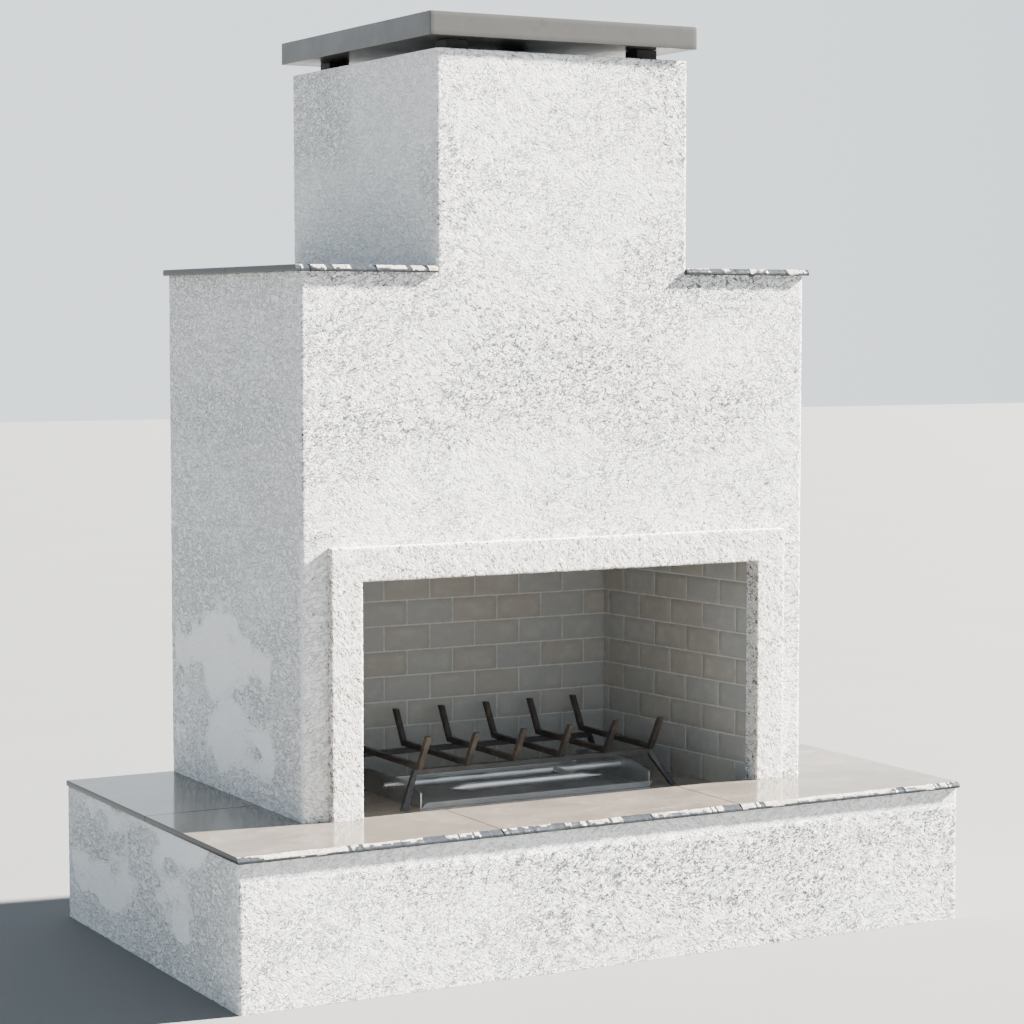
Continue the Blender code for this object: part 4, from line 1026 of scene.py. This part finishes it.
def liningPanel(name, node, start, direction, length, firstJoint, finishes, slot=0):
    # the panel's face seen from inside the firebox, bricks in running bond
    low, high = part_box(node)
    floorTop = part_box("firebox_floor")[1].z
    joint, course, pitch = brick["joint"], brick["course"], brick["length"]
    origin, along = np.array((*start, 0.0)), np.array((*direction, 0.0))
    near = [joint * share for share in brick["jointLines"]]
    places = [firstJoint % (pitch / 2) + pitch / 2 * index
              for index in range(int(length / pitch * 2) + 1)]
    places = [place for place in places if 0 < place < length]
    courses = [floorTop + course * index
               for index in range(1, math.ceil((high.z - floorTop) / course))]
    inner = slot * brick["slotLine"]
    ends = [slot, inner, length - inner, length - slot] if slot else []
    uLines = gridLines([0, *ends, length], brick["cell"], places, near)
    vLines = gridLines([low.z, high.z], brick["cell"], courses, near)

    def relief(points):
        reach = (points - origin) @ along
        level = points[:, 2] - floorTop
        row = np.floor(level / course).clip(0, None)
        shifted = (reach - firstJoint) / pitch - 0.5 * (row % 2)
        number = np.floor(shifted)
        part = (shifted - number) * pitch
        beside = np.minimum(part, pitch - part) * brick["upright"]
        below = np.abs(level - row * course)
        above = course - (level - row * course)
        # the first course stands on the floor without a joint below it
        nearest = np.where(level > course * 0.5, np.minimum(below, above), above)
        gap = np.minimum(beside, nearest) + wavy(points, *brick["ragged"])
        key = np.stack([number, row, 0 * row + len(node)], 1).astype(np.int64)
        tone, tilt = (latticeValue(key, brick[word]) for word in ("toneSeed", "tiltSeed"))
        face = ease(*(joint * share for share in brick["faceSpan"]), gap)
        height = (face - 1) * brick["recess"] + face * (
            brick["proud"] * (tilt - 1) * 0.5 + wavy(points, *brick["rough"]))
        # rim: painted shade along the brick edges beside the joints
        rim = 1 - ease(*brick["rimShadeSpan"], gap + wavy(points, *brick["rimShadeWave"]))
        mortar = 1 - ease(*(joint * share for share in brick["jointSpan"]), gap)
        # the end slots are recessed and painted fully dark: painted shade
        if slot:
            edge = np.minimum(reach, length - reach) < slot * brick["slotReach"]
            height = np.where(edge, -brick["slotDepth"], height)
            mortar, rim = np.where(edge, 0, mortar), np.where(edge, brick["slotShade"], rim)
        return height, {"tone": tone / 2 + 0.5, "joint": mortar, "rim": rim}

    coatedPanel(name, node, (origin, along, up, np.cross(along, up)), uLines, vLines,
                [(0, length, low.z, high.z)], {}, brick["thickness"], brick["arris"], relief,
                finishes["fire_brick"], 1)


def buildLining(finishes):
    low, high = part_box("liner_back")
    liningPanel("backLining", "liner_back", (low.x, low.y), (1, 0), high.x - low.x,
                -low.x + brick["backPhase"], finishes, brick["slot"])
    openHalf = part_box("surround")[1].x - surroundLook["width"]
    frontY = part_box("front_panel")[1].y + brick["frontGap"]
    run = Vector((brick["splay"], low.y - frontY))
    length = run.length - brick["cornerGap"]
    run.normalize()
    start = (openHalf - run.x * length, frontY + run.y * length)
    liningPanel("rightLining", "liner_right", start, (run.x, -run.y), length,
                brick["sidePhase"], finishes)
    liningPanel("leftLining", "liner_left", (-openHalf, frontY), (run.x, run.y), length,
                length - brick["sidePhase"], finishes)


# Cap

capLook = {
    "cell": 0.011, "arris": 0.0012, "arrisShares": (0.3, 0.65, 1.0), "rough": 0.00012,
    "broad": (1.0, (0.09, 0.09, 0.03), 61), "fine": (0.5, 0.016, 62), "sink": 1.2,
    "shade": 50, "postSoftness": 0.0012,
}


def softBlock(low, high, cell, arris):
    # points and faces of a closed box with rounded arrises, and where each point faces
    low, high = np.array(low), np.array(high)
    lines = [gridLines([low[axis], high[axis]], cell, [low[axis], high[axis]],
                       [arris * share for share in capLook["arrisShares"]]) for axis in range(3)]
    points, index, faces = [], {}, []

    def spot(place):
        if place not in index:
            index[place] = len(points)
            points.append([lines[axis][place[axis]] for axis in range(3)])
        return index[place]

    for axis in range(3):
        first, second = (axis + 1) % 3, (axis + 2) % 3
        for end in (0, len(lines[axis]) - 1):
            for a, b in np.ndindex(len(lines[first]) - 1, len(lines[second]) - 1):
                quad = []
                for da, db in ((0, 0), (1, 0), (1, 1), (0, 1)):
                    place = [0, 0, 0]
                    place[axis], place[first], place[second] = end, a + da, b + db
                    quad.append(spot(tuple(place)))
                faces.append(quad if end else quad[::-1])
    points = np.array(points)
    core = np.clip(points, low + arris, high - arris)
    lean = points - core
    lean /= np.linalg.norm(lean, axis=1)[:, None]
    return core + lean * arris, faces, lean


def buildCap(finishes):
    points, faces, lean = softBlock(*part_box("cap_slab"), capLook["cell"], capLook["arris"])
    height = capLook["rough"] * (wavy(points, *capLook["broad"]) + wavy(points, *capLook["fine"])
                                 - capLook["sink"])
    points = points + lean * height[:, None]
    piece = addPiece("capSlab", points.tolist(), faces, "fireplace",
                     [finishes["concrete"]])
    smoothShade(piece, capLook["shade"])
    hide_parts("cap_slab")
    for row in ("front", "rear"):
        for side in ("left", "right"):
            dressNode("cap_post_" + row + "_" + side, side + row.title() + "Post", "fireplace",
                      finishes["postSteel"], capLook["postSoftness"])


# Log grate

grateLook = {
    "bars": 6, "softness": 0.0011, "bead": 0.0024, "beadLift": 0.25, "beadEnds": 0.001,
    "beadRings": 9, "beadSides": 8, "beadBow": 0.35, "beadTip": 0.25, "ripples": 5,
    "rippleHeight": 0.14,
}


def weldBead(shape, start, end, seed):
    # a rippled bead between two points
    look = grateLook
    shares = [step / (look["beadRings"] - 1) for step in range(look["beadRings"])]
    radii = []
    for share in shares:
        swell = math.sin(math.pi * share) ** look["beadBow"] if 0 < share < 1 else look["beadTip"]
        ripple = math.sin(share * math.tau * look["ripples"] + seed)
        radii.append(look["bead"] * swell * (1 + look["rippleHeight"] * ripple))
    roundRun(shape, start, end, shares, radii, look["beadSides"])


def buildGrate(finishes):
    black = finishes["black_steel"]
    for side in ("front", "rear"):
        dressNode("grate_" + side + "_frame", "grate" + side.title() + "Legs", "grate",
                  finishes["legSteel"], grateLook["softness"])
    frontBox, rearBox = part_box("grate_front_frame"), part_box("grate_rear_frame")
    shape = bmesh.new()
    for number in range(1, grateLook["bars"] + 1):
        node = "grate_bar_" + str(number)
        dressNode(node, "grateBar" + str(number), "grate", black,
                  grateLook["softness"])
        low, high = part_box(node)
        width = high.x - low.x
        # a crossbar lies at its frame's inner side, away from the leaning feet
        for level, start in ((frontBox[1].z, frontBox[1].y - width), (rearBox[1].z, rearBox[0].y)):
            level += grateLook["bead"] * grateLook["beadLift"]
            for side in (low.x, high.x):
                weldBead(shape, (side, start + grateLook["beadEnds"], level),
                         (side, start + width - grateLook["beadEnds"], level), number)
    bmesh.ops.recalc_face_normals(shape, faces=shape.faces)
    meshPiece("grateWelds", shape, "grate", black)


# Burner

burnerLook = {
    "fold": 0.0005, "hem": 0.0019, "hemSides": 10, "hemShares": (0, 0.5, 1), "endHem": 0.8,
    "lipHeight": 0.0125, "mitre": 0.016, "tail": 0.009, "wall": 0.0025, "endHeight": 0.037,
    "tubeSoftness": 0.0002,
}


def buildBurner(finishes):
    look, steel, tube = burnerLook, finishes["stainless"], finishes["tubeSteel"]
    low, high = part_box("burner_pan")
    dressNode("burner_pan", "burnerPan", "burner", steel, look["fold"])
    hem, wall, right = look["hem"], look["wall"], high.x - look["tail"]
    lip, endTop = low.z + look["lipHeight"] - hem, low.z + look["endHeight"] - hem
    # folded hems: upright at the pan's four ends, level along its two lips
    hems = [((x, y, low.z + hem), (x, y, endTop))
            for y in (low.y + hem * look["endHem"], high.y - hem * look["endHem"])
            for x in (low.x + wall / 2, right - wall / 2)]
    hems += [((low.x + look["mitre"], low.y + hem, lip), (high.x - hem, low.y + hem, lip)),
             ((low.x + wall, high.y - hem, lip), (right - wall, high.y - hem, lip))]
    shape = bmesh.new()
    for start, end in hems:
        roundRun(shape, start, end, look["hemShares"], [hem] * 3, look["hemSides"])
    bmesh.ops.recalc_face_normals(shape, faces=shape.faces)
    meshPiece("panHems", shape, "burner", tube)
    for node, name in (("burner_tube_rear", "rearTube"), ("burner_tube_front", "frontTube"),
                       ("burner_crossover", "crossoverTube"),
                       ("burner_inlet_nipple", "inletNipple")):
        dressNode(node, name, "burner", tube, look["tubeSoftness"], 1)


# Stage, light and camera

floorLook = {
    "reach": 30, "drop": 0.0005, "shader": {"Roughness": 0.9}, "dark": (0.094, 0.095, 0.095),
    "light": (0.098, 0.099, 0.099), "cloud": (0.8, 3.0), "cloudSpan": (0.3, 0.7),
}


def buildStage():
    paint = Paint("paleFloor", floorLook["shader"])
    paint.finish(paint.tint(floorLook["dark"], floorLook["light"],
                            paint.speckle(*floorLook["cloud"]), floorLook["cloudSpan"]))
    mesh = bpy.data.meshes.new("paleFloor")
    reach = floorLook["reach"]
    corners = ((-reach, -reach), (reach, -reach), (reach, reach), (-reach, reach))
    mesh.from_pydata([(*corner, -floorLook["drop"]) for corner in corners], [], [(0, 1, 2, 3)])
    mesh.materials.append(paint.material)
    floor = bpy.data.objects.new("paleFloor", mesh)
    bpy.context.scene.collection.objects.link(floor)


light = {
    "sunFrom": (1.0, -0.14, 0.64), "sunPower": 90.0, "sunAngle": 2.0,
    "sunColour": (1.0, 0.96, 0.90), "side": (0.64, 0.82, 1.0), "sidePower": 0.94,
    "behind": (0.86, 0.94, 1.0), "behindPower": 1.8,
    "before": (0.86, 0.94, 1.0), "beforePower": 1.4, "screenSpan": (0.35, 0.85),
}


def buildLight():
    lamp = bpy.data.lights.new("sunLight", "SUN")
    lamp.energy, lamp.color = light["sunPower"], light["sunColour"]
    lamp.angle = math.radians(light["sunAngle"])
    item = bpy.data.objects.new("sunLight", lamp)
    item.rotation_euler = Vector(light["sunFrom"]).to_track_quat("Z", "Y").to_euler()
    bpy.context.scene.collection.objects.link(item)
    # a soft room with bright screens before and behind the object
    world = bpy.data.worlds.new("studio")
    world.use_nodes = True
    room = NodeTree(world.node_tree)
    side, before, behind = ([shade * light[part + "Power"] for shade in light[part]]
                            for part in ("side", "before", "behind"))
    place = room.node("ShaderNodeTexCoord", out="Generated")
    depth = room.node("ShaderNodeSeparateXYZ", {}, {"Vector": place}, "Y")
    facing = room.node("ShaderNodeMath", {"operation": "ABSOLUTE"}, {0: depth})
    screens = room.blend(before, behind, depth)
    sky = room.tint(side, screens, facing, light["screenSpan"])
    room.feed(room.tree.nodes["Background"].inputs["Color"], sky)
    bpy.context.scene.world = world


view = {"lens": 92.47, "sensor": 36, "place": (-2.9635, -5.3889, 1.4103),
        "turn": (85.837, 0, -28.818)}


def buildCamera():
    camera = bpy.data.cameras.new("camera")
    camera.lens, camera.sensor_width = view["lens"], view["sensor"]
    item = bpy.data.objects.new("camera", camera)
    item.location = view["place"]
    item.rotation_euler = [math.radians(turn) for turn in view["turn"]]
    bpy.context.scene.collection.objects.link(item)
    bpy.context.scene.camera = item


def paintNodes(finishes):
    # every CAD node that stays in view gets the finish of its slot
    slots = {row["node"]: row["material_slot"] for row in frame["record"]["subparts"]}
    for name, node in frame["nodes"].items():
        if node.hide_render:
            continue
        node.data.materials.clear()
        # the firebox floor gets the lighter tile copy: painted light in the shaded firebox
        finish = "paintedLightFloorTile" if name == "firebox_floor" else slots[name]
        node.data.materials.append(finishes[finish])


stages = {
    "walls": buildWalls, "plinth": buildPlinth, "surround": buildSurround, "tiles": buildTiles,
    "lining": buildLining, "cap": buildCap, "grate": buildGrate, "burner": buildBurner,
    "plain parts": paintNodes,
}


def dressFireplace():
    finishes = makeFinishes()
    buildCamera()
    buildLight()
    buildStage()
    print("finishes, camera, light and floor done")
    for label, build in stages.items():
        build(finishes)
        print(label, "done")


dressFireplace()
